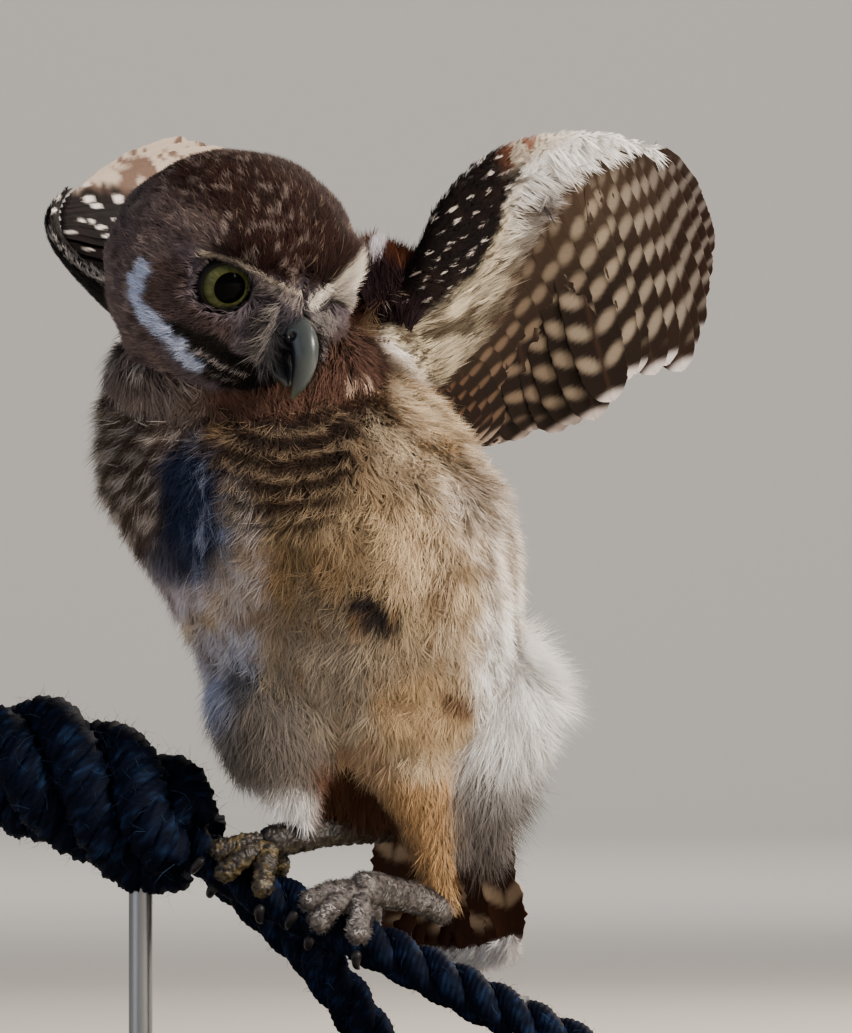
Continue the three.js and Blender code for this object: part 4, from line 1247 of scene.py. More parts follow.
def tufts(name: str, roots: Roots, kind: TuftKind, colour: Field,
          rng: np.random.Generator) -> bpy.types.Object:
    """Makes one joined mesh of small feathers.

    Args:
        name: The piece's name.
        roots: Where the feathers grow.
        kind: Their size and softness.
        colour: Gives the markings' colour at places with normals.
        rng: Seeded source of random numbers.

    Returns:
        The new piece.
    """
    count, strips = len(roots.places), kind.strips
    turn = rng.normal(0, kind.turn_spread, count)
    across = np.cross(roots.normals, roots.lie)
    along = roots.lie * np.cos(turn)[:, None] + across * np.sin(turn)[:, None]
    across = np.cross(roots.normals, along)
    length = kind.length * (1 + kind.length_spread * rng.uniform(-1, 1, count))
    u = np.linspace(-1, 1, strips)[None] if strips > 1 else np.zeros((1, 1))
    u = u + rng.uniform(-0.5, 0.5, (count, strips)) / max(strips, 1)
    angle = kind.fan * u + rng.normal(0, 0.05, (count, strips))
    reach = length[:, None] * (1 - 0.22 * u ** 2) * (1 + 0.12 * rng.uniform(-1, 1, (count, strips)))
    swell = 1 + kind.clump * noise(roots.places, 7, 41)
    rise = kind.height * swell[:, None] * (1 + 0.35 * rng.uniform(-1, 1, (count, strips)))
    bend = kind.wave * rng.normal(0, 1, (count, strips))
    rows = []
    for share, width in ((0.0, 0.9), (0.5, 1.0), (1.0, 0.0)):
        ahead = reach * share
        turned = angle * (0.35 + 0.65 * share) + bend * share
        level = rise * (1 - (1 - share) ** 2) if kind.fluff == 0 else (
            rise * share + kind.fluff * reach * share)
        middle = (roots.places[:, None] + along[:, None] * (ahead * np.cos(turned))[..., None]
                  + across[:, None] * (ahead * np.sin(turned))[..., None]
                  + roots.normals[:, None] * level[..., None])
        side = (across[:, None] * np.cos(turned)[..., None]
                - along[:, None] * np.sin(turned)[..., None]) * kind.strip_width * width / 2
        rows += [middle - side, middle + side] if width else [middle]
    points = np.stack(rows, axis=2).reshape(-1, 3)
    base = (np.arange(count * strips) * 5)[:, None]
    pattern = np.array([[1, 0, 2], [1, 2, 3], [3, 2, 4]])
    faces = (base[:, None] + pattern[None]).reshape(-1, 3)
    seen = (0.3 * (rows[2] + rows[3]) / 2 + 0.7 * rows[4]).reshape(-1, 3)
    facing = np.repeat(roots.normals, strips, axis=0)
    shade = colour(seen, facing)
    tone = np.exp(rng.normal(0, kind.tone_spread, count))[:, None] * np.exp(
        rng.normal(0, kind.strip_tone, (count, strips)))
    tone = tone.reshape(-1, 1)
    # Each strip is painted darker at its root, as painted shade where the feathers overlap.
    shades = np.stack([shade * tone * kind.painted_root_shade] * 2 + [shade * tone] * 2
                      + [shade * tone * kind.tip_tone], axis=1)
    patch = np.repeat(roots.patch, strips * 5, axis=0) + ROOT_TUFT_PATCH * np.tile(
        np.array([[0, 0], [1, 0], [0, 0.5], [1, 0.5], [0.5, 1]]) - 0.5, (count * strips, 1))
    return mesh_piece(name, points, faces, shades.reshape(-1, 3), patch, smooth=False)


# Lie of the plumage


def head_lie(points: Array, normals: Array) -> Array:
    """Direction of the head's feathers: back from the bill, and outward about the eyes."""
    local = HEAD.to_local(points)
    flow = local - np.array([31, 0, -3])
    flow = unit(flow) + np.array([-0.25, 0, 0.05])
    for side in (1, -1):
        away = local - np.array([HEAD.eye_forward + 6, HEAD.eye_aside * side, HEAD.eye_up])
        reach = np.linalg.norm(away, axis=1)
        flow = flow + 1.6 * (1 - step(9, 17, reach))[:, None] * unit(away)
    lores = (1 - step(7, 15, np.linalg.norm(local - np.array([30, 0, -1]), axis=1)))
    droop = np.column_stack([np.full(len(local), 0.25), np.sign(local[:, 1]) * 0.75,
                             np.full(len(local), -0.9)])
    flow = flow * (1 - lores)[:, None] + droop * lores[:, None]
    return flow @ np.array(HEAD.axes())


def brow_lie(points: Array, normals: Array) -> Array:
    """Direction of the brow's feathers: out and up from the base of the bill."""
    flow = HEAD.to_local(points) - np.array([32, 0, -1])
    open_side = (flow[:, 1:2] < 0).astype(float)
    lift = np.array([0.15, 0, 0.3]) + open_side * np.array([0.15, 0, -0.3])
    return (unit(flow) + lift) @ np.array(HEAD.axes())


def body_lie(points: Array, normals: Array) -> Array:
    """Direction of the body's feathers: down, swaying a little."""
    sway = (0.35 * noise(points, 22, 51) + 0.85 * noise(points, 9, 53)
            + 0.4 * noise(points, 3.2, 55) - 0.15)
    flow = np.zeros_like(points)
    flow[:, 0] = sway + 0.05
    flow[:, 1] = 0.25 * (normals[:, 1] > 0)
    flow[:, 2] = -1
    return flow


def vent_lie(points: Array, normals: Array) -> Array:
    """Direction of the undertail fluff: out from its middle and down."""
    flow = points - np.array([34, 26, 124.0])
    return unit(flow) + np.array([0, 0, -0.55])


def thigh_lie(points: Array, normals: Array) -> Array:
    """Direction of the leg's feathers: down the leg and a little forward."""
    flow = np.tile([0.16, 0.12, -1.0], (len(points), 1))
    flow[:, 0] += 0.2 * noise(points, 12, 52)
    return flow


def lining_lie(points: Array, normals: Array) -> Array:
    """Direction of the lining's feathers: outward along the wing and up."""
    flow = np.tile([0.87, 0.1, 0.48], (len(points), 1))
    flow[:, 2] += 0.25 * noise(points, 9, 54) - 1.35 * step(224, 244, points[:, 2])
    return flow


def wing_lie(lines: WingLines) -> Field:
    """Makes the lie of a wing's small feathers, from the leading edge back to the roots."""

    def flow(points: Array, normals: Array) -> Array:
        """Direction of the small feathers of this wing."""
        span, _ = WingMarkings(lines).place(points)
        way = unit(on_curve(lines.tip, span) - on_curve(lines.lead, span))
        return 0.5 * way + tangent_on(lines.root, span)

    return flow


# Large feathers: vanes with barbs, shaft and markings


@dataclass(frozen=True)
class VaneShape:
    """Outline of a large feather as shares of its length and width."""

    width: float
    tilt: float = 12.0
    bow: float = 0.015
    camber: float = 0.06
    outline: tuple = ((0, 0.2), (0.12, 0.55), (0.36, 0.92), (0.7, 1.0), (0.86, 0.92), (0.94, 0.74),
                      (0.98, 0.46), (1, 0.06))
    rows: int = 54
    columns: int = 11
    thickness: float = 0.14
    ragged: float = 0.035


COVERT_OUTLINE = ((0, 0.4), (0.2, 0.8), (0.5, 1.0), (0.78, 0.92), (0.92, 0.66), (0.98, 0.36),
                  (1, 0.05))


@dataclass
class Vanes:
    """Large feathers that are gathered into one joined mesh."""

    points: list
    faces: list
    colours: list
    barbs: list
    patch: list
    count: int = 0

    def add(self, root: Array, tip: Array, facing: Array, shape: VaneShape,
            colour: Field, rng: np.random.Generator,
            patch: tuple[float, float]) -> None:
        """Adds one feather.

        Args:
            root: Where it grows.
            tip: Where it ends.
            facing: Direction that its upper side faces.
            shape: Its outline.
            colour: Gives the colour at shares along and across.
            rng: Seeded source of random numbers.
            patch: Its place on the bake map.
        """
        way = tip - root
        length = float(np.linalg.norm(way))
        along = way / length
        rise = unit(facing - facing.dot(along) * along)
        turn = math.radians(shape.tilt)
        rise = rise * math.cos(turn) + np.cross(along, rise) * math.sin(turn)
        across = np.cross(along, rise)
        share = 1 - (1 - np.linspace(0, 1, shape.rows)) ** 1.25
        places, widths = np.array(shape.outline).T
        half = np.interp(share, places, widths) * shape.width / 2
        inner = np.sin(np.linspace(-1, 1, shape.columns) * math.pi / 2)
        full = np.concatenate([inner, inner[-2:0:-1]])
        below = np.concatenate([np.zeros(shape.columns), np.ones(shape.columns - 2)])
        tear = 1 + shape.ragged * rng.normal(0, 1, (shape.rows, 2))
        for _ in range(int(rng.integers(1, 4)) if shape.ragged > 0.03 else 0):
            at = int(rng.integers(shape.rows // 3, shape.rows - 3))
            tear[at:at + 2, int(rng.integers(0, 2))] *= rng.uniform(0.62, 0.85)
        edge = np.where(full[None] < 0, tear[:, :1], tear[:, 1:])
        reach = half[:, None] * full[None] * (1 + (edge - 1) * np.abs(full[None]) ** 3)
        level = 4 * shape.bow * length * share * (1 - share)
        dome = shape.camber * shape.width * (1 - full ** 2)
        shaft = 0.12 * np.exp(-(full / 0.12) ** 2) * (1 - 2 * below)
        height = (level[:, None] + dome[None] + shaft[None]
                  - below[None] * shape.thickness + 0.02 * rng.normal(0, 1, (shape.rows, 1)))
        grid = (root + along * (share * length)[:, None, None] + across * reach[..., None]
                + rise * height[..., None])
        sides = len(full)
        ends = np.stack([grid[0].mean(axis=0), grid[-1].mean(axis=0)])
        self.points.append(np.vstack([grid.reshape(-1, 3), ends]))
        corners = tube_faces(shape.rows, sides)
        corners = outward(self.points[-1], corners)
        self.faces.append(corners + self.count)
        s, u = np.meshgrid(share, full, indexing="ij")
        shades = colour(s.ravel(), u.ravel())
        self.colours.append(np.vstack([shades, shades[:1], shades[-1:]]))
        offset = rng.uniform(0, 50)
        lines = np.column_stack([(s * length).ravel() + offset, reach.ravel()]) * 0.01
        self.barbs.append(np.vstack([lines, lines[:1], lines[-1:]]))
        spot = np.column_stack([s.ravel(), (u.ravel() + 1) / 2]) * ROOT_TUFT_PATCH + patch
        self.patch.append(np.vstack([spot, spot[:1], spot[-1:]]))
        self.count += len(self.points[-1])

    def piece(self, name: str) -> bpy.types.Object:
        """Makes the joined mesh, with the map that the barbs follow."""
        faces = np.vstack(self.faces)
        made = mesh_piece(name, np.vstack(self.points), faces, np.vstack(self.colours),
                          np.vstack(self.patch))
        layer = made.data.uv_layers.new(name=BARB_MAP)
        lines = np.vstack(self.barbs)[faces.ravel()]
        layer.data.foreach_set("uv", lines.astype(np.float32).ravel())
        return made


def no_vanes() -> Vanes:
    """An empty gathering of large feathers."""
    return Vanes([], [], [], [], [])


@dataclass(frozen=True)
class Barring:
    """Markings of a large feather: rows of pale ovals on brown, with a pale tip."""

    base: str = "#57402f"
    near: str = "#8d7862"
    bar: str = "#b9aa98"
    tip: str = "#dad3d2"
    bars: float = 6.5
    bar_share: float = 0.42
    tip_share: float = 0.04
    tone: float = 1.0
    phase: float = 0.0
    bar_reach: float = 0.45
    slant: float = 0.05
    shaft: float = 0.5

    def paint(self, share: Array, across: Array) -> Array:
        """Linear colours at shares along and across the feather."""
        colour = mix(self.base, self.near, 1 - step(0.12, 0.6, share))
        bend = share + self.slant * np.abs(across)
        wave = np.abs((bend * self.bars + self.phase) % 1 - 0.5) * 2
        cell = np.column_stack([np.floor(bend * self.bars + self.phase), np.sign(across),
                                np.full(len(share), self.phase * 9)])
        size = 1 + 0.3 * noise(cell * 3.7, 1.0, 42)
        oval = np.hypot((1 - wave) / (self.bar_share * size),
                        (np.abs(across) - 0.55) / self.bar_reach)
        bar = 1 - step(0.5, 1.3, oval)
        reach = step(0.05, 0.2, share) * (1 - step(0.86, 0.92, share))
        colour = mix(colour, self.bar, 0.92 * bar * reach)
        end = step(1 - self.tip_share - 0.02, 1 - self.tip_share + 0.015,
                   share - 0.015 * np.abs(across))
        colour = mix(colour, self.tip, end)
        shaft = 1 - step(0.02, 0.06, np.abs(across))
        return mix(colour, "#3a281e", self.shaft * shaft * (1 - end)) * self.tone


@dataclass(frozen=True)
class FeatherRow:
    """One tier of a wing's feathers, as shares of the wing's span, flesh and reach."""

    count: int
    first: float
    last: float
    inset: float
    height: float
    reach: float
    lift: float
    shape: VaneShape
    barring: Barring
    reach_spread: float = 0.025
    outer: Optional[Barring] = None
    stack: float = 0.0
    drop: float = 0.0


def between(low: str, high: str, share: float) -> str:
    """Hex colour part of the way from one to another."""
    pairs = [(int(low[i:i + 2], 16), int(high[i:i + 2], 16)) for i in (1, 3, 5)]
    return "#" + "".join(f"{round(a + (b - a) * share):02x}" for a, b in pairs)


def blended(first: Barring, second: Barring, share: float, rng: np.random.Generator) -> Barring:
    """Markings part of the way from one feather's to another's, with a tone of their own."""
    return Barring(between(first.base, second.base, share), between(first.near, second.near, share),
                   between(first.bar, second.bar, share), between(first.tip, second.tip, share),
                   first.bars + (second.bars - first.bars) * share,
                   first.bar_share + (second.bar_share - first.bar_share) * share,
                   first.tip_share, math.exp(rng.normal(0, 0.06)),
                   first.phase + 0.16 * rng.normal(),
                   first.bar_reach + (second.bar_reach - first.bar_reach) * share,
                   first.slant + (second.slant - first.slant) * share, first.shaft)


SECONDARY = VaneShape(15.0, tilt=0.3, camber=0.008, rows=64, columns=21, thickness=0.07,
                      ragged=0.02)
PRIMARY = VaneShape(14.0, tilt=0.4, camber=0.008, rows=64, columns=21, thickness=0.07, ragged=0.012)
GREATER = VaneShape(11.0, tilt=4, bow=0.03, camber=0.03, outline=COVERT_OUTLINE, rows=26, columns=9)
MEDIAN = VaneShape(9.5, tilt=4, bow=0.05, camber=0.03, outline=COVERT_OUTLINE, rows=20, columns=7)


@dataclass(frozen=True)
class WingColours:
    """Markings of a wing's tiers, each from the innermost feather to the outermost."""

    inner: Barring = Barring("#1c120c", "#22170f", "#523a29", "#76604e", 5.0, 0.32)
    middle: Barring = Barring("#1c140f", "#3d3026", "#847767", "#c8beba", 7.0, 0.52)
    outer: Barring = Barring("#2b1a11", "#382a22", "#857c76", "#cfc9cd", 7.2, 0.46, bar_reach=0.62,
                             slant=0.13)
    covert: Barring = Barring("#1c1312", "#231917", "#e6dcd4", "#33241f", 1.0, 0.13, 0.04,
                              phase=0.25, bar_reach=0.17)


def wing_rows(colours: WingColours) -> list[FeatherRow]:
    """Tiers of a wing, from the flight feathers up to the small coverts of both sides."""
    return [
        FeatherRow(12, 0.08, 0.66, 0.1, 0.0, 1.0, 0.0, SECONDARY, colours.inner,
                   outer=colours.middle, stack=-0.12),
        FeatherRow(10, 0.7, 0.995, 0.1, 0.0, 1.0, 0.0, PRIMARY, colours.middle,
                   outer=colours.outer, stack=-0.12, drop=-2.0),
        FeatherRow(15, 0.1, 0.78, 0.4, 0.6, 0.42, 3.2, GREATER, colours.covert),
        FeatherRow(16, 0.1, 0.76, 0.3, 0.75, 0.22, 3.6, MEDIAN, colours.covert),
    ]


@dataclass(frozen=True)
class Wing:
    """A half-raised wing: flight feathers and coverts on its lines."""

    name: str
    lines: WingLines
    seed: int
    rows: Sequence[FeatherRow]

    def fan_face(self, share: float) -> Array:
        """Upper side's direction of the fan that the flight feathers lie in."""
        low, high = max(share - 0.06, 0), min(share + 0.06, 1)
        ends = [on_curve(self.lines.root, at) + on_curve(self.lines.tip, at) for at in (low, high)]
        along = on_curve(self.lines.tip, share) - on_curve(self.lines.root, share)
        face = unit(np.cross(along, ends[1] - ends[0]))
        upper = self.lines.upper(share)
        return unit(mix(face * np.sign(face.dot(upper)), upper, step(0.68, 0.84, share)))

    def build(self, surface: Surface) -> bpy.types.Object:
        """Makes the wing's large feathers.

        Args:
            surface: The skin, whose map gives each feather its place for the bake.

        Returns:
            The joined mesh.
        """
        rng = np.random.default_rng(self.seed)
        vanes = no_vanes()
        half = [(h, 0, 0) for h in self.lines.half]
        region = Region.WING_LEFT if self.lines.side == 1 else Region.WING_RIGHT
        chosen = surface.regions == region.value
        skin, spots = surface.points[chosen], surface.patch[chosen]
        for row in self.rows:
            for k in range(row.count):
                share = row.first + (row.last - row.first) * k / (row.count - 1)
                share = float(np.clip(share + rng.normal(0, 0.003), 0, 1))
                facing = self.lines.upper(share)
                line = on_curve(self.lines.root, share)
                reach = row.reach * (1 + row.reach_spread * rng.uniform(-1, 1))
                if row.reach == 1:
                    reach *= float(np.interp(share, (0, 0.4, 0.6, 0.68, 0.76, 0.84),
                                             (1, 1, 1.07, 0.98, 0.93, 1)))
                lift = row.lift * (1 + 0.1 * rng.uniform(-1, 1))
                start = (line + (on_curve(self.lines.lead, share) - line) * row.inset
                         + facing * row.height * float(on_curve(half, share)[0]))
                if row.reach == 1:
                    facing = self.fan_face(share)
                level = facing * (row.stack * ((row.count - 1) / 2 - k) - row.drop)
                start = start + level
                end = (line + (on_curve(self.lines.tip, share) - line) * reach + facing * lift
                       + level)
                shape = replace(row.shape, tilt=-self.lines.side * row.shape.tilt,
                                width=row.shape.width * rng.uniform(0.94, 1.06))
                marks = blended(row.barring, row.outer or row.barring, k / (row.count - 1), rng)
                nearest = int(np.argmin(((skin - start) ** 2).sum(axis=1)))
                vanes.add(start, end, facing, shape, marks.paint, rng, tuple(spots[nearest]))
        return vanes.piece(self.name)


@dataclass(frozen=True)
class Tail:
    """Twelve tail feathers, fanned and stacked under the middle ones, and their coverts."""

    seed: int = 47
    count: int = 12
    root_half: float = 7
    tip_half: float = 20
    stack: float = 0.95
    rounding: float = 5
    shape: VaneShape = VaneShape(12.0, tilt=0, bow=0.03, camber=0.05, columns=15, ragged=0.06)
    covert: VaneShape = VaneShape(11.0, tilt=0, bow=0.05, outline=COVERT_OUTLINE, rows=26)
    barring: Barring = Barring("#442a1e", "#301c13", "#c0a586", "#f8f0ee", 3.3, 0.24, 0.04,
                               phase=0.2, bar_reach=0.85)

    def build(self, surface: Surface) -> bpy.types.Object:
        """Makes the tail's feathers, each placed for the bake at the nearest skin."""
        rng = np.random.default_rng(self.seed)
        along = unit(TAIL_TIP - TAIL_ROOT)
        upper = np.cross(TAIL_LEFT, along)
        vanes, middle = no_vanes(), (self.count - 1) / 2
        for k in range(self.count):
            aside = (k - middle) / middle
            depth = -self.stack * (abs(k - middle) - (0.5 if k > middle else 0))
            rounding = self.rounding * abs(aside) ** 1.5 + rng.uniform(-1, 1)
            start = TAIL_ROOT + TAIL_LEFT * aside * self.root_half + upper * depth
            end = TAIL_TIP + TAIL_LEFT * aside * self.tip_half + upper * depth - along * rounding
            marks = blended(self.barring, self.barring, 0, rng)
            vanes.add(start, end, upper, self.shape, marks.paint, rng, surface.patch_near(start))
        for k in range(7):
            aside = (k - 3) / 3
            start = TAIL_ROOT + TAIL_LEFT * aside * self.root_half * 0.8 + upper
            end = (TAIL_ROOT + (TAIL_TIP - TAIL_ROOT) * 0.38
                   + TAIL_LEFT * aside * self.tip_half * 0.5 + upper * (2.2 + 0.4 * (k % 2)))
            vanes.add(start, end, upper, self.covert, self.barring.paint, rng,
                      surface.patch_near(start))
        return vanes.piece("tail_feathers")

    def tips(self) -> bpy.types.Object:
        """Makes the pale fluffy ends of the tail feathers."""
        rng = np.random.default_rng(self.seed + 1)
        along = unit(TAIL_TIP - TAIL_ROOT)
        upper = np.cross(TAIL_LEFT, along)
        count = 1500
        aside = rng.uniform(-1.08, 1.08, count)
        back = self.rounding * np.abs(aside) ** 1.5 + rng.uniform(0.2, 5.0, count) - 1.0
        depth = -self.stack * self.count / 2 * np.abs(aside) + rng.uniform(-0.5, 0.9, count)
        places = (TAIL_TIP + (aside * self.tip_half)[:, None] * TAIL_LEFT
                  - back[:, None] * along + depth[:, None] * upper)
        lies = unit(along + 0.3 * aside[:, None] * TAIL_LEFT + rng.normal(0, 0.25, (count, 3)))
        normals = np.where(rng.random(count)[:, None] < 0.5, upper, -upper)
        kind = TuftKind(3.6, 1, 6, 0.2, 0.5, 0.8, fluff=0.3, wave=0.15, tone_spread=0.1,
                        painted_root_shade=0.95)
        return tufts("tail_tips", Roots(places, normals, lies, own_map(count)), kind,
                     lambda p, n: plain("#fbf4f1", len(p)), rng)


# Face: eyes, lids and bill


@dataclass(frozen=True)
class Eye:
    """Eyeball with a bulging cornea, iris and pupil, and the rim of skin about it."""

    side: int
    radius: float = 8.0
    iris: float = 6.35
    pupil: float = 3.95
    bulge: float = 0.45
    opening: float = 6.5
    rows: int = 120
    columns: int = 144

    def ring(self, angle: Array, radius: Array) -> Array:
        """Rings about the eye's axis at angles from it, each with its radius."""
        middle, axis, across, rise = eye_axes(self.side)
        around = turns(self.columns)
        spoke = (across[None] * np.cos(around)[:, None] + rise[None] * np.sin(around)[:, None])
        return (middle + axis * (np.cos(angle) * radius)[:, None, None]
                + spoke[None] * (np.sin(angle) * radius)[:, None, None])

    def ball(self) -> bpy.types.Object:
        """Makes the eyeball."""
        edge = math.asin(self.iris / self.radius)
        angle = np.concatenate([np.linspace(0.004, edge * 1.05, 84),
                                np.linspace(edge * 1.07, math.pi - 0.004, self.rows - 84)])
        radius = self.radius + self.bulge * (1 - step(0.0, 1.0, angle / edge) ** 1.2)
        rings = self.ring(angle, radius)
        middle, axis = HEAD.eye(self.side)
        ends = np.stack([middle + axis * (self.radius + self.bulge), middle - axis * self.radius])
        points = np.vstack([rings.reshape(-1, 3), ends])
        faces = outward(points, tube_faces(self.rows, self.columns))
        out = np.repeat(np.sin(angle) * self.radius, self.columns)
        around = np.tile(turns(self.columns), self.rows)
        polar = np.column_stack([np.cos(around) * 5, np.sin(around) * 5, out * 0.35])
        spokes = noise(polar, 0.34, 61) * 0.5 + noise(polar, 0.9, 62) * 0.5
        iris = mix("#3c3f28", "#595d3c", step(-0.5, 0.6, spokes))
        iris = mix(iris, "#45461c", 0.7 * (1 - step(self.pupil, self.pupil + 0.8, out)))
        iris = mix(iris, "#3c3d20", 0.8 * step(self.iris - 1.2, self.iris - 0.1, out))
        colour = mix(iris, "#030303", 1 - step(self.pupil - 0.12, self.pupil + 0.12, out))
        colour = mix(colour, "#060505", step(self.iris - 0.2, self.iris + 0.1, out))
        back = np.repeat(angle > edge * 1.06, self.columns)
        colour[back] = linear("#060505")
        colour = np.vstack([colour, linear("#030303")[None], linear("#060505")[None]])
        return mesh_piece("eye_left" if self.side == 1 else "eye_right", points, faces, colour)

    def rim(self) -> bpy.types.Object:
        """Makes the dark rim of skin about the open eye."""
        start = math.asin(self.opening / (self.radius + 0.4))
        around = turns(self.columns)
        lowered = 0.13 * np.clip(np.sin(around), 0, 1) ** 1.5
        share = np.array([0, 0.02, 0.1, 0.25, 0.5, 0.8, 1.0, 1.0, 0.6, 0.2, 0.03])
        lift = np.array([0.3, 0.5, 0.7, 0.8, 0.8, 0.65, 0.4, 0.15, 0.12, 0.12, 0.2])
        middle, axis, across, rise = eye_axes(self.side)
        spoke = across[None] * np.cos(around)[:, None] + rise[None] * np.sin(around)[:, None]
        rows = []
        for at, high in zip(share, lift):
            angle = start - lowered * (1 - at) + at * 0.3
            radius = self.radius + high
            rows.append(middle + axis * (np.cos(angle) * radius)[:, None]
                        + spoke * (np.sin(angle) * radius)[:, None])
        grid = np.stack(rows)
        faces = grid_faces(len(grid), self.columns, True)
        wrap = grid_faces(2, self.columns, True)
        last = (len(grid) - 1) * self.columns
        wrap = np.where(wrap < self.columns, wrap + last, wrap - self.columns)
        faces = np.vstack([faces, wrap])
        points = grid.reshape(-1, 3)
        triangles = outward(points, np.vstack([faces[:, [0, 1, 2]], faces[:, [0, 2, 3]]]))
        colour = plain("#070606", len(points))
        return mesh_piece("lids_right", points, triangles, colour)


@dataclass(frozen=True)
class Sheath:
    """Horny sheath along a path in the head's middle plane."""

    path: tuple
    widths: tuple
    depths: tuple
    ridge: str
    flank: str
    tip: str
    rows: int = 90
    sides: int = 72

    def build(self, name: str, nostril: Optional[tuple] = None) -> bpy.types.Object:
        """Makes the sheath.

        Args:
            name: The piece's name.
            nostril: Forward, aside and up of the hollow of each nostril.

        Returns:
            The new piece.
        """
        share = np.linspace(0, 1, self.rows) ** 0.9
        middles = HEAD.to_world(on_curve(self.path, share))
        along = unit(np.gradient(middles, axis=0))
        _, left, _ = HEAD.axes()
        deep = unit(np.cross(along, np.tile(left, (self.rows, 1))))
        wide = on_curve([(w, 0, 0) for w in self.widths], share)[:, 0]
        depth = on_curve([(d, 0, 0) for d in self.depths], share)[:, 0]
        around = turns(self.sides)
        high = np.sin(around)
        narrow = 1 - 0.26 * np.clip(high, 0, 1) ** 1.5
        aside = wide[:, None] * (np.cos(around) * narrow)[None]
        rings = (middles[:, None] + left * aside[..., None] + deep[:, None]
                 * (depth[:, None] * high[None])[..., None])
        points = np.vstack([rings.reshape(-1, 3), middles[:1], middles[-1:]])
        faces = outward(points, tube_faces(self.rows, self.sides))
        top = np.tile(high, self.rows)
        way = np.repeat(share, self.sides)
        grain = noise(points[:-2] * np.array([1, 1, 0.5]), 1.1, 71)
        colour = mix(self.flank, self.ridge, step(0.0, 0.85, top + 0.15 * grain))
        colour = mix(colour, self.tip, 0.8 * step(0.8, 1.0, way))
        if nostril:
            for side in (1, -1):
                place = HEAD.to_world([nostril[0], nostril[1] * side, nostril[2]])
                away = np.linalg.norm(points - place, axis=1)
                hollow = 1 - step(0.35, 1.5, away)
                inward = unit(HEAD.to_world([nostril[0] - 2.5, 0, nostril[2] - 1.5]) - place)
                points = points + hollow[:, None] * inward * 1.1
                # The nostril's hollow is painted near black: painted shade in the opening.
                colour = mix(colour, "#0c0d0e", hollow[:-2])
        colour = np.vstack([colour, colour[:1], colour[-1:]])
        return mesh_piece(name, points, faces, colour)


# Rope


ROPE_PATH = ((-92, 24, 101), (-66, 14, 92.5), (-48, 8, 83), (-35, 3, 75.5), (-18.7, -3, 65.2),
             (1, -10, 56), (22, -17.6, 45.8), (42, -25, 35.5), (60, -31, 26.8), (74, -36, 21.5))
STRAND_PATH = ((-30, 21, 71), (-18, 17, 60), (-8, 10, 51), (-2, 3, 43.5), (5, 1, 33.5),
               (11, 0, 23), (14, 0, 17.5))
ROPE_RADIUS = 6.3
ROPE_LAY = 31.0


def path_length(points: Array) -> float:
    """Length of a line of points."""
    return float(np.linalg.norm(np.diff(points, axis=0), axis=1).sum())


def even_path(path: Sequence, count: int) -> Array:
    """Points of a smooth curve at even distances along it."""
    fine = on_curve(path, np.linspace(0, 1, 800))
    reach = np.concatenate([[0], np.cumsum(np.linalg.norm(np.diff(fine, axis=0), axis=1))])
    at = np.linspace(0, reach[-1], count)
    return np.column_stack([np.interp(at, reach, fine[:, k]) for k in range(3)])


MAIN_ROPE = even_path(ROPE_PATH, 500)
MAIN_LENGTH = path_length(MAIN_ROPE)


def beside_rope(along: float, angle: float, reach: float) -> Array:
    """Point beside the main rope.

    Args:
        along: Distance from its upper end.
        angle: Degrees from above towards the front.
        reach: Distance from its axis.

    Returns:
        The place in millimetres.
    """
    at = along / MAIN_LENGTH * (len(MAIN_ROPE) - 1)
    low = int(np.clip(at, 1, len(MAIN_ROPE) - 2))
    place = MAIN_ROPE[low] + (MAIN_ROPE[low + 1] - MAIN_ROPE[low]) * (at - low)
    tangent = unit(MAIN_ROPE[low + 1] - MAIN_ROPE[low - 1])
    rise = unit(np.array([0, 0, 1.0]) - tangent[2] * tangent)
    front = np.cross(tangent, rise)
    turn = math.radians(angle)
    return place + rise * reach * math.cos(turn) + front * reach * math.sin(turn)


KNOT_STRANDS = 4
KNOT_LAY = 74.0
KNOT_START = 8.0
KNOT_END = 62.0
KNOT_REACH = (9.5, 11.5, 11.8, 11.2, 11.8, 11.4, 7.5)


def knot_route(strand: int) -> list[Array]:
    """Route of one length of the knot round the main rope, by its number."""
    route = []
    for i, reach in enumerate(KNOT_REACH):
        along = KNOT_START + (KNOT_END - KNOT_START) * i / (len(KNOT_REACH) - 1)
        route.append(beside_rope(along, 360 * (strand / KNOT_STRANDS + along / KNOT_LAY), reach))
    return route


